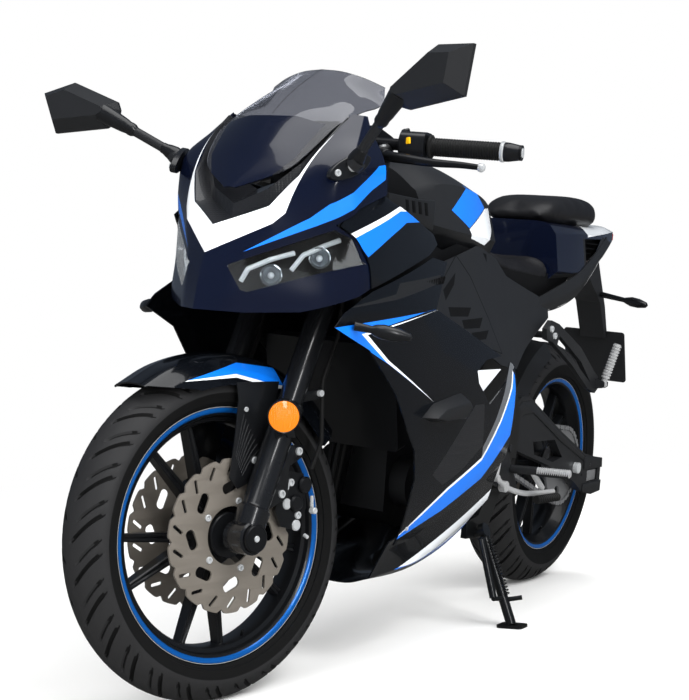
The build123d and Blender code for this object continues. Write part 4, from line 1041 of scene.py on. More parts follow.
CARBON_FIELD = ((998, 398), (902, 501), (868, 530), (829, 530), (805, 443), (880, 395), (940, 372))
CREASE_STRIP = ((1352, 708), (1185, 740), (1171, 760), (999, 781), (1011, 765), (1186, 730))

COVER_SHELL = stations([
    (1060, [(219, 690), (205, 760), (188, 830)]),
    (800, [(214, 600), (186, 720), (162, 850)]),
    (560, [(190, 560), (160, 690), (132, 815)]),
    (290, [(140, 560), (136, 690), (122, 770)]),
])
COVER_OUTLINE = ((956, 806), (1030, 713), (672, 601), (560, 588), (480, 628), (296, 700), (294, 738),
                 (420, 762), (560, 790), (650, 842), (760, 846))
# The cover's slots and the lines along its creases are painted shade, not cut
COVER_SLOTS = (((968, 752), (895, 788), (908, 764), (960, 732)),
               ((950, 720), (822, 720), (846, 702), (944, 702)),
               ((884, 695), (757, 700), (783, 679), (876, 678)),
               ((836, 670), (727, 674), (752, 656), (826, 654)))
COVER_LINES = (((885, 822), (966, 771), (1030, 725), (1008, 711), (880, 669), (767, 641), (653, 624)),
               ((885, 822), (813, 782), (722, 702), (653, 624)))

CHEEK_SHELL = stations([
    (1345, [(203, 700), (204, 790), (178, 850), (160, 890)]),
    (1200, [(214, 700), (206, 800), (196, 900), (170, 940)]),
    (960, [(200, 700), (192, 800), (180, 845), (160, 880)]),
])
CHEEK_OUTLINE = ((1333, 850), (1292, 881), (1206, 914), (1190, 905), (1110, 885), (1000, 856), (985, 838),
                 (1030, 816), (1259, 747), (1268, 788), (1304, 832))
CHEEK_BLUE = ((1312, 829), (1158, 889), (1125, 891), (998, 863), (1070, 875), (1132, 870), (1199, 839),
              (1273, 801))
CHEEK_WHITE = ((1312, 829), (1158, 889), (1125, 891), (998, 863), (1125, 899), (1162, 897), (1320, 836))


def ribbon(line: Sequence[Flat], width: float) -> tuple[Flat, ...]:
    """The outline of a strip of even width along a line of points."""
    left, right = [], []
    for i, (x, z) in enumerate(line):
        before, after = line[max(i - 1, 0)], line[min(i + 1, len(line) - 1)]
        run = Vector((after[0] - before[0], after[1] - before[1])).normalized() * (width / 2)
        left.append((x - run.y, z + run.x))
        right.append((x + run.y, z - run.x))
    return (*left, *reversed(right))


def build_side_panels() -> None:
    """The side fairings, the frame covers and the cheeks behind the lamps."""
    # Finish 5 paints a highlight along the vent's rear edge
    Panel("side_panel", ("side_fairing",), SIDE_SHELL, (LACQUER, BLUE, WHITE, CARBON, MOULDED, HIGHLIGHT_GREY),
          SIDE_OUTLINE, holes=((VENT, View.SIDE),),
          decals=(Decal(CREASE_STRIP, 4), Decal(CARBON_FIELD, 3), Decal(ARROW_WHITE, 2),
                  Decal(ARROW_BLUE, 1), Decal(VENT_EDGE_HIGHLIGHT, 5), Decal(SICKLE_WHITE, 2), Decal(SICKLE_BLUE, 1)),
          point_corners=(3,), steps=6).build()
    # The cover's lines and slots get painted shade
    lines = [ribbon(line, 2.4) for line in COVER_LINES]
    Panel("spar_cover", ("frame_cover",), COVER_SHELL, (MOULDED, SHADE_BLACK), COVER_OUTLINE,
          decals=tuple(Decal(shape, 1) for shape in (*lines, *COVER_SLOTS)), point_corners=(1,)).build()
    Panel("cheek", ("cheek_panel",), CHEEK_SHELL, (LACQUER, BLUE, WHITE), CHEEK_OUTLINE,
          decals=(Decal(CHEEK_WHITE, 2), Decal(CHEEK_BLUE, 1)), point_corners=(2,)).build()


@dataclass
class SideDetails:
    """The small wing, the vent's inside, and sheets of painted shade behind the openings and the cover's
    slots.
    """

    wing: tuple[Flat, ...] = ((1086, 514), (1045, 503), (947, 504), (920, 542), (934, 562), (1045, 543))
    wing_depth: Flat = (229, 266)
    wing_taper: Flat = (0.86, 0.55)
    wing_drop: float = 4
    vent_fin: tuple[Flat, ...] = ((862, 592), (718, 596), (802, 530))
    fin_depth: Flat = (206, 212)
    fairing_shade_sheet: tuple[Flat, ...] = ((1230, 760), (1190, 850), (1000, 846), (900, 830), (840, 846), (700, 832),
                               (640, 640), (700, 520), (900, 500), (1100, 640))
    seat_shade_sheet: tuple[Flat, ...] = ((575, 812), (545, 760), (400, 735), (296, 705), (240, 730), (140, 790),
                                   (110, 826), (250, 806), (300, 796), (560, 808))
    gills: int = 10
    screw: Point = (1036, 198, 296)

    def wing_solid(self, bm: Mesh) -> None:
        """A faceted wedge that narrows outwards."""
        faces = slab(bm, self.wing, View.SIDE, *self.wing_depth, edge=0)
        x, z = (sum(p[i] for p in self.wing) / len(self.wing) for i in (0, 1))
        for vert in {v for f in faces for v in f.verts if abs(v.co.y - self.wing_depth[1]) < 0.1}:
            vert.co.x = x + (vert.co.x - x) * self.wing_taper[0]
            vert.co.z = z - self.wing_drop + (vert.co.z - z) * self.wing_taper[1]
        soften(bm, faces, 2.0, 3)

    def build(self) -> None:
        """Makes the pieces for both sides."""
        bm = bmesh.new()
        self.wing_solid(bm)
        settle_pair(bm, "side_wing", (MOULDED,))
        bm = bmesh.new()
        slab(bm, self.vent_fin, View.SIDE, *self.fin_depth, edge=0.8)
        bmesh.ops.rotate(bm, verts=bm.verts, cent=(773, self.fin_depth[0], 586),
                         matrix=Matrix.Rotation(math.radians(-9), 3, "Z"))
        settle_pair(bm, "vent_fin", (WHITE,))
        # Near-black sheets behind the openings: painted shade
        settle_plates("shade_sheets", SHADE_BLACK, ((self.fairing_shade_sheet, 150, 153, 0.5), (self.seat_shade_sheet, 104, 107, 0.5)))
        # The gills' slots as dark slabs: painted shade
        gills = []
        for i in range(self.gills):
            x, z = 1092 - 10.5 * i, 757 + 1.6 * i
            gill = ((x, z - 7), (x - 3, z - 7), (x - 8, z + 7), (x - 5, z + 7))
            gills.append((gill, 206, 213.6 - 0.25 * i, 0))
        settle_plates("crease_gills", SHADE_BLACK, gills)
        bm = bmesh.new()
        bolt(bm, self.screw)
        settle_pair(bm, "fairing_screw", (PLATED,))


# Nose


COWL_LEVELS: list[tuple[float, list[Flat]]] = [
    (690, [(1490, 0), (1464, 42), (1352, 160), (1300, 202), (1150, 212)]),
    (725, [(1484, 0), (1462, 42), (1350, 160), (1290, 203), (1150, 214)]),
    (770, [(1474, 0), (1454, 46), (1345, 160), (1285, 204), (1150, 212)]),
    (840, [(1450, 0), (1412, 88), (1334, 170), (1298, 194), (1150, 202)]),
    (900, [(1415, 0), (1388, 102), (1345, 166), (1312, 188), (1150, 198)]),
    (958, [(1372, 0), (1350, 115), (1333, 165), (1312, 184), (1150, 194)]),
    (1010, [(1325, 0), (1300, 125), (1285, 145), (1262, 162), (1150, 172)]),
    (1050, [(1285, 0), (1250, 125), (1240, 135), (1225, 145), (1150, 150)]),
]
COWL_ROWS = [[(x, y, z) for x, y in points] for z, points in COWL_LEVELS]
COWL_OUTLINE = ((1500, 680), (1431, 691), (1372, 698), (1311, 722), (1260, 746), (1268, 788), (1304, 832),
                (1334, 850), (1292, 882), (1208, 914), (1214, 994), (1222, 1025), (1215, 1060), (1500, 1060))
LAMP_OUTLINE = ((40, 768), (170, 842), (189, 830), (203, 788), (70, 725), (61, 728))
RECESS_EDGE = ((0, 834), (80, 873), (112, 929))
RECESS = ((-9, 834), *RECESS_EDGE, (128, 1004), (133, 1080), (-9, 1080))
CHEVRON = ((-9, 786), (0, 786), (91, 843), (106, 863), (130, 1009), *reversed(RECESS_EDGE), (-9, 834))
LAMP_FIELD = ((1200, 600), (1600, 600), (1600, 900), (1200, 900))
NOSE_MIDDLE: Point = (1150, 0, 850)


@dataclass
class Nose:
    """The nose cowl with its chevron, the recess round the screen, and the screen."""

    brow: tuple[Flat, ...] = ((1441, 792), (1357, 846), (1256, 918), (1216, 940), (1212, 966), (1234, 962),
                              (1346, 885), (1366, 858))
    tip: Point = (1417, 0, 898)
    top: Point = (1156, 0, 1144)
    dark: tuple[Flat, ...] = ((-9, 880), (-9, 1038), (52, 1038), (104, 1026), (90, 960), (60, 920),
                              (20, 890))

    def cowl(self) -> None:
        """The painted shell."""
        Panel("nose_shell", ("nose_cowl",), COWL_ROWS, (NAVY, BLUE, WHITE), COWL_OUTLINE,
              holes=((LAMP_OUTLINE, View.FRONT), (RECESS, View.FRONT)),
              decals=(Decal(CHEVRON, 2, View.FRONT), Decal(self.brow, 1)),
              point_corners=(1, 3), middle=NOSE_MIDDLE, whole=True, steps=6).build()

    def surround(self) -> None:
        """The sunk band between the shell and the screen, with a perforated floor."""
        outer = [(1452, 0, 834), (1407, 80, 873), (1372, 112, 929), (1312, 127, 1002), (1262, 130, 1044)]
        inner = [(1398, 0, 874), (1382, 56, 902), (1346, 98, 952), (1290, 114, 1006), (1240, 120, 1046)]
        under = [(1330, 0, 905), (1322, 50, 925), (1290, 88, 965), (1240, 100, 1012), (1200, 104, 1046)]
        middle = [between(a, b, 0.65) - Vector((14, 0, 10)) for a, b in zip(outer, inner)]
        start = [(x - 3, max(y - 1.5, 0), z - 1) for x, y, z in outer]
        bm = bmesh.new()
        skin(bm, [start, middle, inner, under], 4, (1, 2), (1, 2))
        face_out(bm, NOSE_MIDDLE)
        thicken(bm, 2)
        mirror_in_place(bm)
        settle(bm, "screen_surround", "chassis", (CARBON,))

    def screen(self) -> None:
        """The double-bubble screen, painted dark below and smoked clear above."""
        tip, top = Vector(self.tip), Vector(self.top)
        up = (top - tip).normalized()
        out = up.cross(Vector(TO_LEFT))
        if out.z < 0:
            out = -out
        rows = []
        for along, half, middle, edge in ((4, 12, 2, 0), (64, 86, 11, -3), (115, 108, 20, 0),
                                          (190, 121, 28, -3), (262, 128, 22, -26), (326, 130, 9, -54),
                                          ((top - tip).length, 124, 0, -40)):
            rows.append([tip + up * along + out * (middle + (edge - middle) * share ** 2)
                         + Vector((0, half * share, 0)) for share in (0, 0.35, 0.7, 1)])
        bm = bmesh.new()
        skin(bm, rows, 5)
        face_out(bm, NOSE_MIDDLE)
        score(bm, self.dark, View.FRONT)
        thicken(bm, 2.5)
        for face in bm.faces:
            if inside(View.FRONT.flat(face.calc_center_median()), self.dark):
                face.material_index = 1
        mirror_in_place(bm)
        settle(bm, "screen", "chassis", (SMOKE, NAVY), ("windscreen",))

    def build(self) -> None:
        """Makes the nose."""
        self.cowl()
        self.surround()
        self.screen()


@dataclass
class HeadLamp:
    """One lamp: a clear lens, a dark tray, two bowls with bulbs and a light bar."""

    bowls: tuple[Point, ...] = ((1392, 86, 756), (1328, 140, 792))
    bowl_radius: float = 17
    look: Point = (0.80, 0.58, 0.06)
    bars: tuple[tuple[Point, ...], ...] = (
        ((1434, 54, 742), (1430, 64, 764), (1402, 90, 783), (1366, 112, 797)),
        ((1368, 110, 767), (1352, 122, 795), (1322, 142, 813), (1296, 158, 826)))
    bar_radius: float = 4.6
    tray_depth: Flat = (3, 34)

    def sheet(self) -> Mesh:
        """The nose's form inside the lamp's outline."""
        bm = bmesh.new()
        skin(bm, COWL_ROWS, 6, (), (1, 3))
        face_out(bm, NOSE_MIDDLE)
        trim(bm, LAMP_FIELD, View.SIDE)
        trim(bm, LAMP_OUTLINE, View.FRONT)
        return bm

    def tray(self) -> None:
        """The dark housing behind the lens, in painted shade."""
        gap, deep = self.tray_depth
        bm = self.sheet()
        bmesh.ops.translate(bm, verts=bm.verts, vec=Vector(self.look) * -gap)
        walls = bmesh.ops.extrude_face_region(bm, geom=list(bm.faces))
        back = {g for g in walls["geom"] if isinstance(g, bmesh.types.BMVert)}
        bmesh.ops.translate(bm, verts=list(back), vec=Vector(self.look) * -deep)
        front = [f for f in bm.faces if back.isdisjoint(f.verts)]
        bmesh.ops.delete(bm, geom=front, context="FACES_ONLY")
        bmesh.ops.recalc_face_normals(bm, faces=bm.faces)
        settle_pair(bm, "lamp_tray", (SHADE_BLACK,))

    def build(self) -> None:
        """Makes both lamps."""
        bm = self.sheet()
        thicken(bm, 2)
        settle_pair(bm, "lamp_lens", (LENS,), ("headlight",))
        self.tray()
        look = Vector(self.look).normalized()
        r = self.bowl_radius
        bowl = [(0, r), (2, r + 2), (3, r), (-4, r * 0.88), (-10, r * 0.62), (-14, r * 0.3), (-14, 0)]
        bm = bmesh.new()
        for spot in self.bowls:
            lathe(bm, bowl, Vector(spot) + look * 4, Vector(spot) + look * 5, 24)
        settle_pair(bm, "lamp_bowls", (CHROME,))
        bm = bmesh.new()
        for spot in self.bowls:
            rod(bm, Vector(spot) - look * 8, Vector(spot) + look * 4, 6, 4, 1.5, 16)
        for bar in self.bars:
            pipe(bm, bar, self.bar_radius, 2)
        settle_pair(bm, "light_bar", (LIGHT_BAR,))


# Belly, tank and tail

BELLY_ROWS = stations([
    (1062, [(180, 268), (173, 256), (142, 190), (90, 172), (0, 170)]),
    (871, [(188, 312), (181, 298), (152, 205), (100, 168), (0, 166)]),
    (731, [(198, 364), (191, 350), (161, 255), (105, 190), (0, 188)]),
    (600, [(193, 400), (186, 388), (161, 300), (110, 236), (0, 234)]),
])
BELLY_OUTLINE = ((1062, 100), (1062, 300), (880, 330), (731, 380), (600, 420), (600, 290), (648, 262),
                 (656, 140), (700, 120))
BELLY_WHITE = ((960, 198), (842, 240), (750, 272), (674, 298), (590, 326), (590, 290), (680, 236),
               (760, 212), (880, 198))
BELLY_BLUE = ((975, 196), (960, 198), (880, 198), (760, 212), (680, 236), (590, 290), (590, 276), (674, 224),
              (758, 201), (880, 189))

TANK_ROWS = stations([
    (972, [(118, 850), (152, 878), (120, 940), (58, 982), (0, 990)]),
    (880, [(126, 822), (166, 870), (134, 962), (66, 1003), (0, 1003)]),
    (740, [(122, 790), (156, 866), (130, 958), (64, 990), (0, 992)]),
    (610, [(100, 800), (128, 862), (104, 938), (52, 960), (0, 962)]),
    (560, [(74, 820), (92, 868), (78, 915), (44, 932), (0, 934)]),
])
TANK_BLUE = ((874, 911), (803, 880), (675, 930), (717, 955), (770, 970))
TANK_WHITE = ((803, 878), (675, 928), (630, 932), (640, 885), (694, 850), (790, 860))
TANK_FLANK = ((960, 858), (840, 866), (700, 846), (620, 838), (560, 800), (1000, 700))

TAIL_ROWS = stations([
    (258, [(106, 790), (132, 812), (118, 900), (92, 926), (0, 930)]),
    (100, [(84, 792), (122, 815), (112, 910), (86, 930), (0, 934)]),
    (-100, [(60, 834), (94, 850), (90, 915), (66, 936), (0, 940)]),
    (-240, [(36, 878), (62, 888), (60, 930), (42, 946), (0, 950)]),
    (-330, [(18, 906), (38, 912), (38, 938), (24, 944), (0, 944)]),
])
TAIL_BLADE = stations([
    (372, [(128, 712), (133, 722), (131, 742)]),
    (250, [(129, 720), (134, 742), (132, 775)]),
    (100, [(122, 757), (128, 782), (124, 815)]),
    (-60, [(98, 824), (105, 846), (101, 872)]),
    (-200, [(68, 882), (75, 900), (72, 918)]),
])
TAIL_HOLE = ((48, 900), (-118, 908), (30, 815))
TAIL_FRAME = ((64, 902), (48, 900), (30, 815), (34, 812), (46, 812))
TAIL_WHITE = ((30, 990), (-330, 990), (-330, 938), (-60, 914), (20, 906))
TAIL_TRIM = ((-132, 915), (-330, 905), (-120, 800), (258, 700), (258, 806), (34, 812))
TANK_WING = ((968, 864), (1108, 880), (1150, 902), (1150, 922), (1030, 920), (968, 923))
FILLER_FOOT: Point = (845, 0, 1003.3)
FILLER_BOLTS = 6
FILLER_BOLT_CIRCLE = 40.5
FILLER = ((0, 0), (0, 44), (3, 46), (7, 44), (8, 38), (6.5, 36), (6.5, 22), (9, 20), (9, 0))
TAIL_BACKING = ((130, 918), (-40, 926), (-155, 924), (-160, 884), (60, 802), (130, 812))
TAIL_MIDDLE: Point = (0, 0, 870)


def build_belly() -> None:
    """The pan under the engine, with its stripes."""
    Panel("belly_shell", ("belly_pan",), BELLY_ROWS, (LACQUER, BLUE, WHITE), BELLY_OUTLINE,
          decals=(Decal(BELLY_WHITE, 2), Decal(BELLY_BLUE, 1)), point_corners=(1, 2), middle=(800, 0, 320),
          whole=True).build()


def build_tank() -> None:
    """The fuel tank's cover with its side slots, wings and filler ring."""
    Panel("tank_cover", ("tank",), TANK_ROWS, (MOULDED, BLUE, WHITE, SMOOTH),
          decals=(Decal(TANK_FLANK, 3), Decal(TANK_WHITE, 2), Decal(TANK_BLUE, 1)),
          point_corners=(1, 2), steps=7, middle=(760, 0, 880)).shell((6, -6))
    settle_plates("tank_wing", MOULDED, ((TANK_WING, 146, 165, 3),))
    # The slots in the cover's sides, as dark plates of painted shade
    slots = []
    for i in range(4):
        x = 1082 - 25 * i
        slots.append((((x, 894 - i), (x - 12, 894 - i), (x - 4, 915), (x + 8, 915)), 163.5, 165.6, 0.3))
    settle_plates("tank_slots", SHADE_BLACK, slots)
    bm = bmesh.new()
    up = Vector((0, 0, 1))
    foot = Vector(FILLER_FOOT)
    lathe(bm, FILLER, foot, foot + up, 48)
    for i in range(FILLER_BOLTS):
        turn = math.radians(360 / FILLER_BOLTS * i + 20)
        spot = Vector((math.cos(turn), math.sin(turn), 0)) * FILLER_BOLT_CIRCLE
        bolt(bm, foot + spot + up * 6.3, 3, 1, up)
    settle(bm, "filler_cap", "fuel_cap", (CAST_BLACK, PLATED), ("fuel_cap",))


def build_tail() -> None:
    """The tail's shell, its sunk side windows and the blades under it."""
    Panel("tail_shell", ("tail_cowl",), TAIL_ROWS, (NAVY, WHITE, MOULDED), holes=((TAIL_HOLE, View.SIDE),),
          decals=(Decal(TAIL_TRIM, 2), Decal(TAIL_FRAME, 2), Decal(TAIL_WHITE, 1)),
          point_corners=(1, 2), steps=6, middle=TAIL_MIDDLE).shell((0, -4))
    # The window's backing and slats, in painted shade
    plates = [(TAIL_BACKING, 70, 74, 0.5)]
    for i in range(5):
        z, end = 838 + 13 * i, -8 - 21 * i
        plates.append((((46, z), (end, z + 1), (end, z + 4), (46, z + 3)), 82, 90, 0.5))
    settle_plates("tail_window", SHADE_BLACK, plates)
    Panel("tail_blade", (), TAIL_BLADE, (MOULDED,), steps=6, wall=4, middle=TAIL_MIDDLE).build()
    bm = bmesh.new()
    pipe(bm, [row[0] for row in TAIL_BLADE], 2.2)
    settle_pair(bm, "blade_edge", (ALLOY,))


# Front end


BAR_ROOT: Point = (1082, 116, 1003)
BAR_END: Point = (968, 352, 970)


def fork_point(height: float) -> Point:
    """A place on the left fork leg's axis."""
    return (FRONT_AXLE[0] - (height - FRONT_AXLE[2]) * math.tan(RAKE), 97, height)


def on_bar(share: float) -> Vector:
    """A place on the left bar, 0 at its root and 1 at its end."""
    return between(BAR_ROOT, BAR_END, share)


def on_axle(y: float) -> Point:
    """A place on the front axle's line."""
    return (FRONT_AXLE[0], y, FRONT_AXLE[2])


@dataclass
class Fork:
    """The fork's sliders and tubes, the caps of the axle, and the bolts round them."""

    foot: float = 303
    slider_top: float = 520
    tube_top: float = 1008
    slider: tuple[Flat, ...] = ((0, 0), (0, 21), (5, 26), (8, 29), (40, 29.5), (43, 27), (47, 25), (212, 25),
                                (215, 27.2), (236, 27.2), (239, 25), (241, 23), (241, 0))
    lug: tuple[Flat, ...] = ((1318, 452), (1296, 462), (1262, 446), (1226, 444), (1228, 424), (1262, 408),
                             (1268, 352), (1322, 330), (1346, 345))
    bolts: tuple[Flat, ...] = ((1242, 434), (1284, 360))
    cap: tuple[Flat, ...] = ((0, 0), (0, 21), (3, 24), (7, 24), (9, 22), (9, 8), (7.5, 7), (7.5, 0))

    def build(self) -> None:
        """Makes both legs and the axle."""
        top = fork_point(self.slider_top)
        bm = bmesh.new()
        lathe(bm, self.slider, fork_point(self.foot), top, 48)
        rod(bm, on_axle(70), on_axle(122), 29, edge=3, steps=48)
        slab(bm, self.lug, View.SIDE, 74, 84, 2)
        for x, z in self.bolts:
            bolt(bm, (x, 84, z), 7.5, 1)
        settle_front(bm, "fork_legs", (FORK_BLACK, PLATED), ("fork_sliders",))
        bm = bmesh.new()
        rod(bm, top, fork_point(self.tube_top), 23, edge=2, steps=48)
        settle_front(bm, "stanchions", (FORK_BLACK,), ("fork_tubes",))
        bm = bmesh.new()
        rod(bm, on_axle(0), on_axle(122), 10)
        lathe(bm, self.cap, on_axle(121.5), on_axle(130))
        with finished(bm, 1):
            rod(bm, on_axle(126), on_axle(131.5), 5.5)
        settle_front(bm, "axle_and_nuts", (HARD_BLACK, PLATED), ("front_axle",))


@dataclass
class Mudguard:
    """The gloss front mudguard with its stripe, and its ribbed stays."""

    section: tuple[Flat, ...] = ((0, 322), (42, 314), (64, 288), (69, 262))
    arc: tuple[float, ...] = (57, 70, 85, 100, 115, 130, 146)
    lower_edge: tuple[Flat, ...] = ((1600, 545), (1545, 556), (1462, 549), (1400, 538), (1368, 529),
                                    (1368, 440), (1600, 440))
    blue: tuple[Flat, ...] = ((1476, 564), (1362, 594), (1268, 584), (1262, 553), (1275, 553), (1371, 574))
    white: tuple[Flat, ...] = ((1482, 562), (1371, 568), (1276, 547), (1262, 547), (1262, 553), (1275, 553),
                               (1371, 574), (1476, 564))
    stay: tuple[Flat, ...] = ((1372, 560), (1368, 530), (1377, 459), (1390, 394), (1372, 374), (1342, 384),
                              (1316, 404), (1290, 470), (1274, 560))
    stay_depth: Flat = (66, 69.5)
    ribs: int = 8

    def build(self) -> None:
        """Makes the mudguard."""
        rows = [[around(FRONT_AXLE, r, math.radians(angle), y) for y, r in self.section]
                for angle in self.arc]
        bm = bmesh.new()
        skin(bm, rows, 8, (), (2,))
        face_out(bm, FRONT_AXLE)
        trim(bm, self.lower_edge, View.SIDE, keep=False)
        paint(bm, self.blue, View.SIDE, 1)
        paint(bm, self.white, View.SIDE, 2)
        thicken(bm, 3)
        settle_front(bm, "front_mudguard", (LACQUER, BLUE, WHITE), ("front_fender",))
        face = self.stay_depth[1]
        bm = bmesh.new()
        slab(bm, self.stay, View.SIDE, *self.stay_depth, 1)
        for i in range(self.ribs):
            pipe(bm, [(1322 + 5 * i, face, 440 + 9 * i), (1344 + 3 * i, face + 0.3, 426 + 7 * i),
                      (1362 + 2 * i, face, 396 + 5 * i)], 1.3)
        bolt(bm, (1334, face, 422), 6.5, 1)
        bolt(bm, (1352, face, 512), 4.5, 1)
        settle_front(bm, "mudguard_stays", (SMOOTH, PLATED))


def build_reflectors() -> None:
    """The round amber reflectors in their black bezels, on their brackets."""
    start, end = (1318, 128, 500), (1325, 140, 500)
    bm = bmesh.new()
    lathe(bm, ((11, 0), (11, 10), (10.3, 20), (9, 27), (4, 27.5), (4, 0)), start, end, 40)
    with finished(bm, 1):
        lathe(bm, ((0, 0), (0, 27), (2, 29), (8, 29), (9.3, 28.6), (9, 27.6), (4, 27.4), (4, 0)), start,
              end, 40)
        slab(bm, ((1284, 462), (1302, 462), (1330, 500), (1316, 516), (1300, 506)), View.SIDE, 118, 124, 1)
    settle_front(bm, "round_reflectors", (AMBER, SMOOTH), ("reflectors",))


def build_caliper_details() -> None:
    """Bolts, bleed screws, hose ends and their clip beside the calipers."""
    bm = bmesh.new()
    for x, z in ((1236, 318), (1252, 378)):
        bolt(bm, (x, 73, z), 7)
    for x, z in ((1240, 300), (1262, 340), (1266, 372)):
        rod(bm, (x, 70, z), (x, 77, z), 10, edge=2, steps=24)
    rod(bm, (1212, 86, 330), (1212, 86, 352), 3.5, steps=12)
    rod(bm, (1216, 88, 326), (1216, 100, 326), 6, steps=12)
    rod(bm, (1226, 80, 282), (1226, 90, 278), 3.5, steps=12)
    rod(bm, (1218, 104, 538), (1218, 122, 538), 6, steps=16)
    settle_front(bm, "caliper_bolts", (PLATED,))
    bm = bmesh.new()
    slab(bm, ((1206, 530), (1264, 522), (1268, 540), (1206, 548)), View.SIDE, 108, 114, 1)
    for x, z in ((1242, 340), (1220, 372)):
        rod(bm, (x, 73, z), (x, 82, z), 15, edge=3)
    settle_front(bm, "caliper_pistons", (CAST_BLACK,))


@dataclass
class Bars:
    """Grips with their ribs, rings and weights, and the switches. Shares are of the bar's length."""

    grip_radius: float = 17
    grip_shares: Flat = (0.455, 0.935)
    ribs: int = 26
    flange: tuple[Flat, ...] = ((0.43, 12), (0.43, 21), (0.436, 22), (0.446, 22), (0.452, 20))
    ring: tuple[Flat, ...] = ((0.942, 12), (0.942, 18), (0.948, 19), (0.962, 19), (0.968, 17.5), (0.968, 12))
    weight: tuple[Flat, ...] = ((0.969, 12), (0.969, 17), (0.975, 17.6), (1.0, 17.2), (1.07, 14),
                                (1.086, 13), (1.09, 11.5), (1.09, 0))
    buttons: tuple[tuple[float, ...], ...] = ((0.3, -24, 12, 7), (0.36, -20, 20, 6), (0.28, 10, 27, 8),
                                              (0.36, 20, 22, 5))
    switch: float = 0.335

    def grip(self, bm: Mesh) -> None:
        """The left grip, its flange and its weight."""
        length = (Vector(BAR_END) - Vector(BAR_ROOT)).length
        flange, ring, weight = ([(share * length, radius) for share, radius in line]
                                for line in (self.flange, self.ring, self.weight))
        low, high = (share * length for share in self.grip_shares)
        pitch = (high - low) / self.ribs
        r = self.grip_radius
        profile = [*flange, (low, r)]
        for i in range(self.ribs):
            profile += [(low + pitch * (i + share), r - drop)
                        for share, drop in ((0.3, 0), (0.45, 1.3), (0.85, 1.3), (1, 0))]
        lathe(bm, [*profile, (high + 1, 12)], BAR_ROOT, BAR_END, 40)
        with finished(bm, 1):
            lathe(bm, ring, BAR_ROOT, BAR_END, 40)
            rod(bm, on_bar(1.085), on_bar(1.096), 9)
        with finished(bm, 2):
            lathe(bm, weight, BAR_ROOT, BAR_END, 40)

    def build(self) -> None:
        """Makes both grips and the switches."""
        bm = bmesh.new()
        self.grip(bm)
        settle_front(bm, "ribbed_grips", (RUBBER, PLATED, SMOOTH), ("grips",))
        bm = bmesh.new()
        seam = on_bar(self.switch)
        x, y, z = seam + Vector((29, 3, 6))
        slab(bm, [(y - 7, z - 6), (y + 7, z - 6), (y + 7, z + 6), (y - 7, z + 6)], View.FRONT, x - 4,
             x + 2.5, 1.2)
        settle(bm, "yellow_switch", "front_end", (YELLOW,), steered=True)
        bm = bmesh.new()
        for share, ahead, up, radius in self.buttons:
            out = Vector((ahead, 0, up)).normalized()
            rod(bm, on_bar(share) + out * 20, on_bar(share) + out * 31, radius, edge=1.5, steps=20)
        run = (Vector(BAR_END) - Vector(BAR_ROOT)).normalized()
        rod(bm, seam - run * 28, seam - run * 22, 30, edge=3, steps=40)
        settle_front(bm, "switch_buttons", (SMOOTH,))


@dataclass
class Levers:
    """The clutch and brake levers: a thick blade that thins to a ball."""

    line: tuple[Point, ...] = ((1088, 142, 981), (1104, 178, 969), (1100, 218, 960), (1076, 264, 950),
                               (1050, 306, 944), (1036, 336, 938))
    radii: tuple[float, ...] = (11, 12.5, 11.5, 9.5, 7.5, 6.5)
    ball: tuple[Flat, ...] = ((0, 0), (1, 4.2), (3.8, 7.4), (8, 8.5), (12.2, 7.4), (15, 4.2), (16, 0))
    perch: tuple[Point, Point] = ((1074, 150, 989), (1096, 146, 974))
    steps: int = 6

    def blade(self, bm: Mesh) -> None:
        """The round bar along the line, with its changing radius."""
        line = curve_through(self.line, self.steps)
        turns = [math.tau * k / 16 for k in range(16)]
        rings = []
        for i, at in enumerate(line):
            run = line[min(i + 1, len(line) - 1)] - line[max(i - 1, 0)]
            side = run.cross(Vector((0, 0, 1))).normalized()
            up = side.cross(run).normalized() * 0.8
            share = min(i / self.steps, len(self.radii) - 1.001)
            radius = self.radii[int(share)] * (1 - share % 1) + self.radii[int(share) + 1] * (share % 1)
            rings.append([at + (side * math.cos(turn) + up * math.sin(turn)) * radius for turn in turns])
        loft(bm, rings)

    def build(self) -> None:
        """Makes both levers."""
        bm = bmesh.new()
        self.blade(bm)
        rod(bm, *self.perch, 13, edge=2)
        rod(bm, self.perch[1], self.line[1], 13, edge=2)
        tip = Vector(self.line[-1])
        out = (tip - Vector(self.line[-2])).normalized()
        with finished(bm, 1):
            lathe(bm, self.ball, tip - out * 3, tip + out * 13, 24)
            bolt(bm, (1100, 162, 988), 6.5, 1, (0.2, 0, 1))
        settle_front(bm, "control_levers", (HARD_BLACK, PLATED), ("levers",))


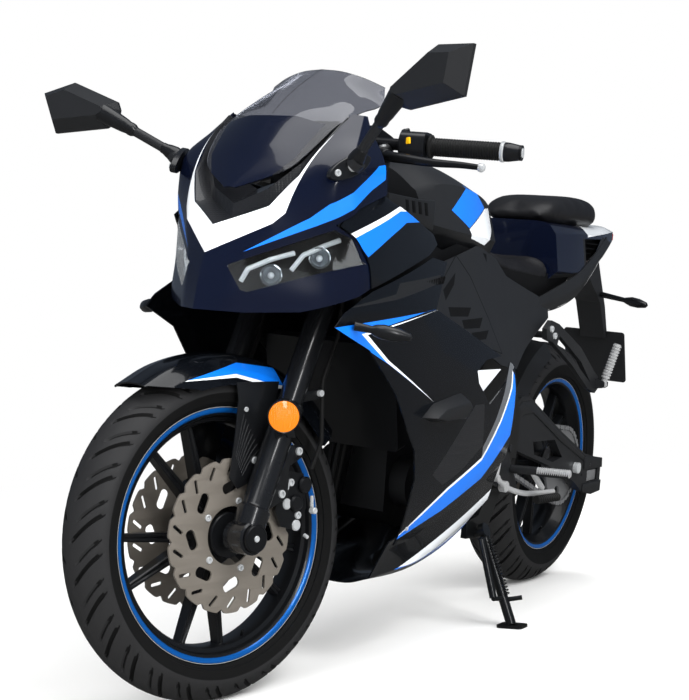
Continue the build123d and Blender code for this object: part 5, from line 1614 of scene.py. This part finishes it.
@dataclass
class MirrorDetails:
    """The rubber boots on the mirrors' arms and the plates on the cowl."""

    foot: Point = (1325, 195, 964)
    head: Point = (1378, 296, 1064)
    pivot: Point = (1325, 185, 956)
    drop: float = 18
    boot: tuple[Flat, ...] = ((0.56, 9), (0.6, 12), (0.63, 12.5), (0.67, 12), (0.72, 13.5), (0.98, 17),
                              (1.06, 17.5), (1.1, 0))
    base: tuple[Flat, ...] = ((-6, 0), (-6, 14), (0, 15), (12, 13), (20, 10.5), (26, 10), (27, 9))
    plate_centre: Point = (1327, 184, 950)
    plate_long: Point = (-0.76, 0.30, 0.40)
    plate_out: Point = (0.40, 0.88, 0.12)
    plate_half: Flat = (46, 17)
    plate_depth: Flat = (-6, 5)
    plate_bolts: tuple[Flat, ...] = ((4, 10), (-30, 6))

    def plate(self, bm: Mesh) -> None:
        """The oval plate on the cowl with its two screws."""
        centre, long, out = (Vector(v) for v in (self.plate_centre, self.plate_long, self.plate_out))
        long.normalize()
        out.normalize()
        face = (out - long * out.dot(long)).normalized()
        wide = face.cross(long)
        low, high = self.plate_depth
        rings = []
        for depth, grow in ((low, 0), (high - 1.5, 0), (high, -1.5)):
            a, b = (half + grow for half in self.plate_half)
            turns = [math.tau * i / 28 for i in range(28)]
            rings.append([centre + long * (a * math.cos(turn)) + wide * (b * math.sin(turn)) + face * depth
                          for turn in turns])
        loft(bm, rings)
        for along, radius in self.plate_bolts:
            bolt(bm, centre + long * along + out * high, radius, 1, self.plate_out)

    def arm(self, drop: float) -> Mesh:
        """The boots on the left arm, tipped down about its foot."""
        bm = bmesh.new()
        length = (Vector(self.head) - Vector(self.foot)).length
        for profile in ([(share * length, radius) for share, radius in self.boot], self.base):
            lathe(bm, profile, self.foot, self.head)
        turn = Matrix.Rotation(math.radians(-drop), 3, "X")
        bmesh.ops.rotate(bm, verts=bm.verts, cent=self.pivot, matrix=turn)
        return bm

    def build(self) -> None:
        """Makes the boots and the plates."""
        settle(self.arm(0), "mirror_boot_left", "chassis", (SMOOTH,))
        right = self.arm(self.drop)
        settle(mirrored(right), "mirror_boot_right", "chassis", (SMOOTH,))
        right.free()
        bm = bmesh.new()
        self.plate(bm)
        settle_pair(bm, "mirror_plate", (SMOOTH, PLATED))


# Rear end and seats


CLOTH_VOXEL_M = 0.006
CLOTH_PRESSURE = 4
CLOTH_QUALITY = 5
CLOTH_FRAMES = 20
CLOTH_SMOOTHINGS = 12


def cushion(name: str, rows: Sequence[Sequence[Point]], node: str, shrink: float,
            cap_mm: float) -> None:
    """A padded seat, swollen by a cloth simulation from a slightly smaller form.

    Args:
        name: The piece's name.
        rows: Half rows of points across the machine, from the lower edge to the middle line.
        node: The CAD node that it replaces.
        shrink: How much smaller the form starts, in millimetres.
        cap_mm: How far a point may move.
    """
    bm = bmesh.new()
    skin(bm, rows, 5)
    for row, push in ((rows[0], 3), (rows[-1], -3)):
        end_cap(bm, row, 5, (), push)
    mirror_in_place(bm)
    bmesh.ops.remove_doubles(bm, verts=bm.verts, dist=0.2)
    bmesh.ops.holes_fill(bm, edges=bm.edges, sides=0)
    bmesh.ops.triangulate(bm, faces=bm.faces)
    bmesh.ops.recalc_face_normals(bm, faces=bm.faces)
    bm.normal_update()
    for vert in bm.verts:
        vert.co = vert.co - vert.normal * shrink
    piece = settle(bm, name, "chassis", (VINYL,), (node,), smooth=80)
    swell(piece, cap_mm * MM)
    soft = piece.modifiers.new("smooth", "SUBSURF")
    soft.levels = 1
    soft.render_levels = 1


def swell(piece: bpy.types.Object, cap: float) -> None:
    """Remeshes a closed form and swells it with cloth pressure, no point further than cap."""
    bpy.context.view_layer.objects.active = piece
    remesh = piece.modifiers.new("voxels", "REMESH")
    remesh.mode = "VOXEL"
    remesh.voxel_size = CLOTH_VOXEL_M
    freeze(piece)
    start = [vert.co.copy() for vert in piece.data.vertices]
    cloth = piece.modifiers.new("cloth", "CLOTH")
    cloth.settings.use_pressure = True
    cloth.settings.uniform_pressure_force = CLOTH_PRESSURE
    cloth.settings.effector_weights.gravity = 0
    cloth.settings.quality = CLOTH_QUALITY
    for frame_number in range(1, CLOTH_FRAMES + 1):
        bpy.context.scene.frame_set(frame_number)
    freeze(piece)
    for vert, home in zip(piece.data.vertices, start):
        moved = vert.co - home
        if moved.length > cap:
            vert.co = home + moved * (cap / moved.length)
    bm = bmesh.new()
    bm.from_mesh(piece.data)
    for _ in range(CLOTH_SMOOTHINGS):
        bmesh.ops.smooth_vert(bm, verts=bm.verts, factor=0.5, use_axis_x=True, use_axis_y=True,
                              use_axis_z=True)
    bm.to_mesh(piece.data)
    bm.free()
    piece.data.shade_smooth()


def freeze(piece: bpy.types.Object) -> None:
    """Applies the piece's modifiers to its mesh."""
    shape = bpy.data.meshes.new_from_object(piece.evaluated_get(bpy.context.evaluated_depsgraph_get()))
    old = piece.data
    finishes = list(old.materials)
    piece.modifiers.clear()
    piece.data = shape
    shape.materials.clear()
    for finish in finishes:
        shape.materials.append(finish)
    bpy.data.meshes.remove(old)


RIDER_ROWS = stations([
    (556, [(70, 806), (80, 814), (82, 822), (66, 838), (50, 846), (25, 848), (0, 848)]),
    (500, [(84, 797), (98, 806), (98, 818), (82, 834), (66, 840), (34, 842), (0, 841)]),
    (430, [(100, 788), (114, 797), (116, 806), (102, 820), (84, 826), (44, 828), (0, 826)]),
    (300, [(110, 787), (119, 797), (120, 806), (112, 820), (96, 828), (50, 830), (0, 828)]),
    (259, [(110, 790), (119, 800), (120, 812), (112, 836), (94, 846), (50, 850), (0, 850)]),
])
PASSENGER_ROWS = stations([
    (262, [(60, 930), (71, 932), (74, 938), (68, 944), (56, 946), (30, 947), (0, 947)]),
    (215, [(88, 930), (101, 937), (104, 950), (95, 970), (80, 976), (42, 978), (0, 978)]),
    (90, [(92, 932), (105, 942), (108, 960), (100, 986), (84, 994), (44, 997), (0, 997)]),
    (-70, [(80, 936), (93, 946), (96, 964), (88, 988), (74, 994), (38, 997), (0, 997)]),
    (-150, [(52, 940), (60, 946), (62, 954), (56, 964), (46, 968), (24, 970), (0, 970)]),
])


def build_seats() -> None:
    """Both seats."""
    cushion("rider_cushion", RIDER_ROWS, "rider_seat", 4, 8)
    cushion("passenger_cushion", PASSENGER_ROWS, "passenger_seat", 4, 9)


@dataclass
class Footrests:
    """The rider's brackets, pegs and pedals, and the passenger's folding pegs."""

    plate: tuple[Flat, ...] = ((575, 330), (560, 452), (505, 462), (480, 400), (425, 330), (405, 300),
                               (450, 296), (520, 316))
    plate_depth: Flat = (137, 145)
    peg: tuple[Point, Point] = ((448, 208, 356), (440, 285, 360))
    pivot: Point = (22, 184, 538)
    run: Point = (-8, 26, 105)

    def ribbed(self, bm: Mesh, start: Spot, end: Spot, radius: float, rings: int) -> None:
        """A round bar with turned rings."""
        length = (Vector(end) - Vector(start)).length
        pitch = length / rings
        profile = [(0, 0), (0, radius - 1.5)]
        for i in range(rings):
            profile += [(pitch * (i + share), radius - drop)
                        for share, drop in ((0.15, 0), (0.55, 0), (0.7, 2), (0.98, 2))]
        lathe(bm, [*profile, (length, radius - 2), (length, 0)], start, end, 28)

    def heel_plate(self, bm: Mesh) -> None:
        """The bracket with its bolts and hollow, and the peg."""
        slab(bm, self.plate, View.SIDE, *self.plate_depth, 1.5)
        rod(bm, (452, 144, 352), (448, 210, 356), 10, edge=2)
        rod(bm, (448, 208, 352), (440, 282, 356), 8, edge=2)
        for x, z in ((548, 430), (555, 350)):
            bolt(bm, (x, 145, z), 8, 1)
        for x, z in ((468, 400), (500, 392)):
            rod(bm, (x, 144, z), (x, 149, z), 9)
        with finished(bm, 2):
            self.ribbed(bm, *self.peg, 9.5, 16)

    def gear(self, bm: Mesh) -> None:
        """The silver gear lever, its link and its rubber."""
        with finished(bm, 2):
            pipe(bm, [(505, 156, 318), (455, 165, 300), (380, 176, 292), (300, 190, 292)], 6.5)
            rod(bm, (505, 145, 318), (505, 163, 318), 13, edge=2)
            pipe(bm, [(505, 158, 318), (530, 156, 330), (545, 153, 342)], 6)
            rod(bm, (545, 152, 340), (530, 152, 408), 5)
            rod(bm, (530, 147, 408), (530, 158, 408), 8)
            rod(bm, (545, 147, 340), (545, 160, 340), 8)
            pipe(bm, [(452, 200, 350), (420, 205, 322), (395, 200, 312)], 7)
        with finished(bm, 3):
            self.ribbed(bm, (410, 196, 284), (292, 200, 280), 10, 12)

    def brake(self, bm: Mesh) -> None:
        """The silver brake pedal, drawn on the left before it is mirrored."""
        with finished(bm, 2):
            rod(bm, (505, 144, 330), (505, 162, 330), 12, edge=2)
            pipe(bm, [(505, 156, 330), (560, 166, 324), (610, 176, 316)], 7)
            rod(bm, (610, 172, 316), (610, 205, 316), 9, edge=1.5)

    def passenger_peg(self, bm: Mesh) -> None:
        """The folding peg and its pivot pin."""
        tip = Vector(self.pivot) + Vector(self.run)
        rod(bm, self.pivot, between(self.pivot, tip, 0.2), 7)
        self.ribbed(bm, between(self.pivot, tip, 0.16), tip, 11, 12)
        x, y, z = self.pivot
        rod(bm, (x - 9.5, y, z), (x + 9.5, y, z), 8)

    def build(self) -> None:
        """Makes them for both sides."""
        finishes = (MOULDED, PLATED, ALLOY, RUBBER)
        for side, control in ((Side.LEFT, self.gear), (Side.RIGHT, self.brake)):
            word = side.word
            bm, peg = bmesh.new(), bmesh.new()
            self.heel_plate(bm)
            control(bm)
            self.passenger_peg(peg)
            if side is Side.RIGHT:
                bm, peg = mirrored(bm), mirrored(peg)
            settle(bm, f"rider_footrest_{word}", "chassis", finishes, (f"footpeg_bracket_{word}",))
            settle(peg, f"ribbed_peg_{word}", f"passenger_peg_{word}", (ALLOY,), (f"passenger_peg_{word}",))


@dataclass
class RearArm:
    """The swingarm's raised panels and the axle's blocks."""

    guard: tuple[Flat, ...] = ((470, 440), (372, 500), (325, 500), (110, 405), (-60, 338), (-60, 326),
                               (110, 388), (300, 470), (360, 470), (455, 415))
    over_axle: tuple[Flat, ...] = ((-62, 340), (-186, 326), (-190, 300), (-62, 304))
    under_axle: tuple[Flat, ...] = ((-62, 264), (-190, 266), (-190, 236), (-125, 232), (-62, 246))
    block: tuple[Flat, ...] = ((-92, 298), (-150, 298), (-150, 270), (-92, 270))

    def build(self) -> None:
        """Makes the raised panels and blocks over the arm's sides."""
        settle_plates("arm_ridges", MOULDED, ((self.guard, 120, 124, 1.5), (self.over_axle, 120, 125, 1.5),
                                              (self.under_axle, 120, 125, 1.5)))
        bm = bmesh.new()
        slab(bm, self.block, View.SIDE, 116, 122, 1)
        bolt(bm, (-100, 122, 314), 5)
        settle_pair(bm, "axle_blocks", (CHAIN_STEEL,))


@dataclass
class Chain:
    """The links along both runs and round both sprockets."""

    rear: Point = (0, 83, 314)
    front: Point = (525, 83, 432)
    big: float = 98
    small: float = 36
    pitch: float = 15.9
    pin_half: float = 6.9

    def route(self) -> list[Vector]:
        """The chain's closed line."""
        span = Vector(self.front) - Vector(self.rear)
        lean = math.asin((self.big - self.small) / span.length)
        heading = math.atan2(span.z, span.x)
        up = heading + math.pi / 2 - lean
        down = heading - math.pi / 2 + lean
        behind = [around(self.rear, self.big, up + (math.tau - (up - down)) * i / 24) for i in range(25)]
        ahead = [around(self.front, self.small, down + (up - down) * i / 12) for i in range(13)]
        return [*behind, *ahead, behind[0]]

    def pins(self) -> list[Vector]:
        """Where the pins lie, evenly along the line."""
        route = self.route()
        legs = [(b - a).length for a, b in zip(route, route[1:])]
        count = round(sum(legs) / self.pitch / 2) * 2
        spots = []
        leg, done = 0, 0.0
        for i in range(count):
            want = sum(legs) * i / count
            while done + legs[leg] < want:
                done += legs[leg]
                leg += 1
            spots.append(route[leg].lerp(route[leg + 1], (want - done) / legs[leg]))
        return spots

    def build(self) -> None:
        """Makes the links and pins."""
        spots = self.pins()
        pin = Vector((0, self.pin_half, 0))
        bm = bmesh.new()
        for i, (spot, after) in enumerate(zip(spots, [*spots[1:], spots[0]])):
            run = (after - spot).normalized()
            wide = Vector((-run.z, 0, run.x))
            a, b = spot - run * 5, after + run * 5
            edge = [(b, 3), (b - run * 4, 6), ((a + b) / 2, 4), (a + run * 4, 6), (a, 3)]
            ring = [*[p + wide * half for p, half in reversed(edge)], *[p - wide * half for p, half in edge]]
            inner = 5.2 if i % 2 else 3.4
            for low, high in ((inner, inner + 1.6), (-inner - 1.6, -inner)):
                loft(bm, [[p + Vector((0, y, 0)) for p in ring] for y in (low, high)])
            rod(bm, spot - pin, spot + pin, 4, edge=0.3, steps=8)
        settle(bm, "chain_links", "chassis", (CHAIN_STEEL,), ("chain",))


def build_stand() -> None:
    """The side stand's return spring."""
    start, end = Vector((600, 176, 214)), Vector((604, 232, 100))
    axis = (end - start).normalized()
    side = axis.orthogonal().normalized()
    other = axis.cross(side)
    turns, steps, radius = 18, 8, 5.5
    points = []
    for i in range(turns * steps + 1):
        turn = math.tau * i / steps
        points.append(between(start, end, i / (turns * steps)) + side * (radius * math.cos(turn))
                      + other * (radius * math.sin(turn)))
    bm = bmesh.new()
    pipe(bm, points, 1.2)
    settle(bm, "stand_spring", "side_stand", (BLACK_STEEL,))


def build_indicators() -> None:
    """The four indicators: a stalk each, and a head that tapers to its tip."""
    rear = [(0, 0), (0, 8), (90, 6.5), (100, 9), (118, 13), (145, 12.5), (170, 8), (180, 0)]
    front = [(0, 0), (0, 8), (30, 6.5), (36, 10), (50, 13), (76, 12), (98, 6), (102, 0)]
    bm = bmesh.new()
    lathe(bm, rear, (-285, 40, 762), (-208, 202, 744), 20)
    lathe(bm, front, (1318, 215.4, 682), (1262, 300, 670), 20)
    mirror_in_place(bm)
    settle(bm, "stalk_indicators", "chassis", (SMOOTH,), ("indicators",))


def build_bracket_bolts() -> None:
    """The silver bolts of the passenger brackets."""
    bm = bmesh.new()
    for x, z in ((346, 676), (324, 660), (24, 538)):
        bolt(bm, (x, 166, z), 8)
    settle_pair(bm, "bracket_bolts", (PLATED,))


# Camera, floor and lights


@dataclass(frozen=True)
class Shot:
    """Where the camera stands and how it is turned, in metres and degrees."""

    place: Point = (2.6833, 1.3762, 0.5824)
    yaw: float = 211.4918
    pitch: float = 0.5959
    roll: float = -2.0896
    focal_mm: float = 70.16
    sensor_mm: float = 36.0

    def build(self) -> None:
        """Makes the scene's camera."""
        yaw, pitch, roll = (math.radians(a) for a in (self.yaw, self.pitch, self.roll))
        ahead = Vector((math.cos(pitch) * math.cos(yaw), math.cos(pitch) * math.sin(yaw), math.sin(pitch)))
        level = ahead.cross(Vector((0, 0, 1))).normalized()
        upright = level.cross(ahead)
        right = level * math.cos(roll) + upright * math.sin(roll)
        up = upright * math.cos(roll) - level * math.sin(roll)
        data = bpy.data.cameras.new("camera")
        data.lens = self.focal_mm
        data.sensor_width = self.sensor_mm
        data.sensor_fit = "AUTO"
        camera = bpy.data.objects.new("camera", data)
        turned = Matrix((right, up, -ahead)).transposed().to_4x4()
        camera.matrix_world = Matrix.Translation(self.place) @ turned
        bpy.context.scene.collection.objects.link(camera)
        bpy.context.scene.camera = camera


@dataclass(frozen=True)
class Lamp:
    """One soft studio light."""

    name: str
    place: Point
    size_m: Flat
    watts: float
    mirrored: bool

    def build(self, aim: Vector) -> None:
        """Makes the light, turned to a point."""
        data = bpy.data.lights.new(self.name, "AREA")
        data.shape = "RECTANGLE"
        data.size, data.size_y = self.size_m
        data.energy = self.watts
        lamp = bpy.data.objects.new(self.name, data)
        lamp.location = self.place
        lamp.visible_glossy = self.mirrored
        lamp.rotation_euler = (aim - Vector(self.place)).to_track_quat("-Z", "Y").to_euler()
        bpy.context.scene.collection.objects.link(lamp)


@dataclass(frozen=True)
class Studio:
    """A pale floor under an even sky, with soft lights round the machine."""

    floor_half_m: float = 30.0
    floor_colour: str = "#f4f4f3"
    floor_rough: float = 0.9
    floor_fade_m: tuple[float, float] = (1.6, 4.5)
    floor_mirrored: float = 0.11
    sky_seen: str = "#ffffff"
    sky_light: str = "#ffffff"
    sky_tint: str = "#c4d4ec"
    sky_strength: float = 0.5
    sky_mirrored: float = 0.14
    aim: Point = (0, 0, 0.5)
    lamps: tuple[Lamp, ...] = (
        Lamp("key", (1.6, 3.4, 3.6), (2.6, 2.0), 190, False),
        Lamp("front", (4.6, 0.2, 1.9), (2.4, 2.2), 120, False),
        Lamp("rim", (-3.4, -2.2, 3.0), (2.6, 1.6), 110, False),
        Lamp("left_low", (0.4, 4.4, 0.8), (3.4, 1.2), 60, False),
        Lamp("overhead", (0.8, 1.2, 4.6), (4.4, 3.6), 110, True),
        Lamp("strip", (3.2, 4.2, 2.4), (0.5, 2.6), 55, True),
    )

    def build(self) -> None:
        """Makes the floor, the sky and the lights."""
        bm = bmesh.new()
        bmesh.ops.create_grid(bm, x_segments=1, y_segments=1, size=self.floor_half_m)
        mesh = bpy.data.meshes.new("floor")
        bm.to_mesh(mesh)
        bm.free()
        floor = bpy.data.objects.new("floor", mesh)
        bpy.context.scene.collection.objects.link(floor)
        mesh.materials.append(self.floor_paint())
        self.sky()
        for lamp in self.lamps:
            lamp.build(Vector(self.aim))

    def floor_paint(self) -> bpy.types.Material:
        """Matt paint that fades to the white of the sky with distance, and is dim in mirrored rays."""
        paint_floor = bpy.data.materials.new("plain_matt_floor")
        paint_floor.use_nodes = True
        tree = paint_floor.node_tree
        shader = tree.nodes["Principled BSDF"]
        shader.inputs["Base Color"].default_value = linear(self.floor_colour)
        shader.inputs["Roughness"].default_value = self.floor_rough
        place = add_node(tree, "ShaderNodeTexCoord", {}, {})
        far = add_node(tree, "ShaderNodeVectorMath", {"operation": "LENGTH"},
                       {"Vector": place.outputs["Object"]})
        fade = add_node(tree, "ShaderNodeMapRange", {"interpolation_type": "SMOOTHSTEP",
                                                     "From Min": self.floor_fade_m[0],
                                                     "From Max": self.floor_fade_m[1]},
                        {"Value": far.outputs["Value"]})
        white = add_node(tree, "ShaderNodeEmission", {"Color": linear(self.sky_seen), "Strength": 1.0}, {})
        dim = add_node(tree, "ShaderNodeEmission", {"Color": linear(self.floor_colour),
                                                    "Strength": self.floor_mirrored}, {})
        path = add_node(tree, "ShaderNodeLightPath", {}, {})
        faded = add_node(tree, "ShaderNodeMixShader", {}, {"Fac": fade.outputs["Result"]})
        tree.links.new(shader.outputs["BSDF"], faded.inputs[1])
        tree.links.new(white.outputs["Emission"], faded.inputs[2])
        result = add_node(tree, "ShaderNodeMixShader", {}, {"Fac": path.outputs["Is Glossy Ray"]})
        tree.links.new(faded.outputs["Shader"], result.inputs[1])
        tree.links.new(dim.outputs["Emission"], result.inputs[2])
        tree.links.new(result.outputs["Shader"], tree.nodes["Material Output"].inputs["Surface"])
        return paint_floor

    def sky(self) -> None:
        """Lights the scene evenly, and shows the camera plain white."""
        world = bpy.data.worlds.new("sky")
        bpy.context.scene.world = world
        world.use_nodes = True
        tree = world.node_tree
        light = tree.nodes["Background"]
        light.inputs["Color"].default_value = linear(self.sky_light)
        light.inputs["Strength"].default_value = self.sky_strength
        seen = add_node(tree, "ShaderNodeBackground", {"Color": linear(self.sky_seen), "Strength": 1.0}, {})
        mirrored = add_node(tree, "ShaderNodeBackground", {"Color": linear(self.sky_tint),
                                                           "Strength": self.sky_mirrored}, {})
        path = add_node(tree, "ShaderNodeLightPath", {}, {})
        result = light.outputs["Background"]
        for ray, sky in (("Glossy", mirrored), ("Transmission", seen), ("Camera", seen)):
            mix = tree.nodes.new("ShaderNodeMixShader")
            tree.links.new(path.outputs[f"Is {ray} Ray"], mix.inputs[0])
            tree.links.new(result, mix.inputs[1])
            tree.links.new(sky.outputs["Background"], mix.inputs[2])
            result = mix.outputs["Shader"]
        tree.links.new(result, tree.nodes["World Output"].inputs["Surface"])
        bpy.context.scene.view_settings.view_transform = "Standard"


# What keeps its CAD shape

CARRIED: dict[str, tuple[Finish, float]] = {
    "rear_sprocket": (CHAIN_STEEL, 0.4), "rear_axle": (PLATED, 0.4), "fork_yokes": (HARD_BLACK, 1.5),
    "handlebars": (HARD_BLACK, 0.6), "switch_housings": (SMOOTH, 5.0),
    "front_calipers": (CAST_BLACK, 3.0), "brake_hoses": (RUBBER, 0.0), "frame": (BLACK_STEEL, 1.0),
    "engine": (GREY_CAST, 3.0), "radiator": (CAST_BLACK, 1.0), "exhaust": (BLACK_STEEL, 0.6),
    "swingarm": (MOULDED, 3.0), "hugger": (MOULDED, 0.8), "rear_caliper": (CAST_BLACK, 1.0),
    "shock": (BLACK_STEEL, 0.5), "passenger_bracket_left": (MOULDED, 2.0),
    "passenger_bracket_right": (MOULDED, 2.0), "tail_light": (RED_LENS, 0.8),
    "plate_holder": (MOULDED, 0.8), "dash": (SMOOTH, 3.0),
    "mirror_left": (MOULDED, 1.6), "mirror_right": (MOULDED, 1.6), "side_stand": (BLACK_STEEL, 1.2),
}


def main() -> None:
    """Builds the camera, the studio and every piece."""
    logging.basicConfig(level=logging.INFO, format="%(message)s")
    for step in (Shot().build, Studio().build, build_wheels, Fork().build, Mudguard().build,
                 build_reflectors, build_caliper_details, Bars().build, Levers().build,
                 MirrorDetails().build, build_side_panels, SideDetails().build, Nose().build,
                 HeadLamp().build, build_belly, build_tank, build_tail, build_indicators,
                 build_bracket_bolts, build_seats, Footrests().build, RearArm().build, Chain().build,
                 build_stand):
        step()
    for node, (finish, bevel) in CARRIED.items():
        dress(node, finish, bevel)


if __name__ == "__main__":
    main()
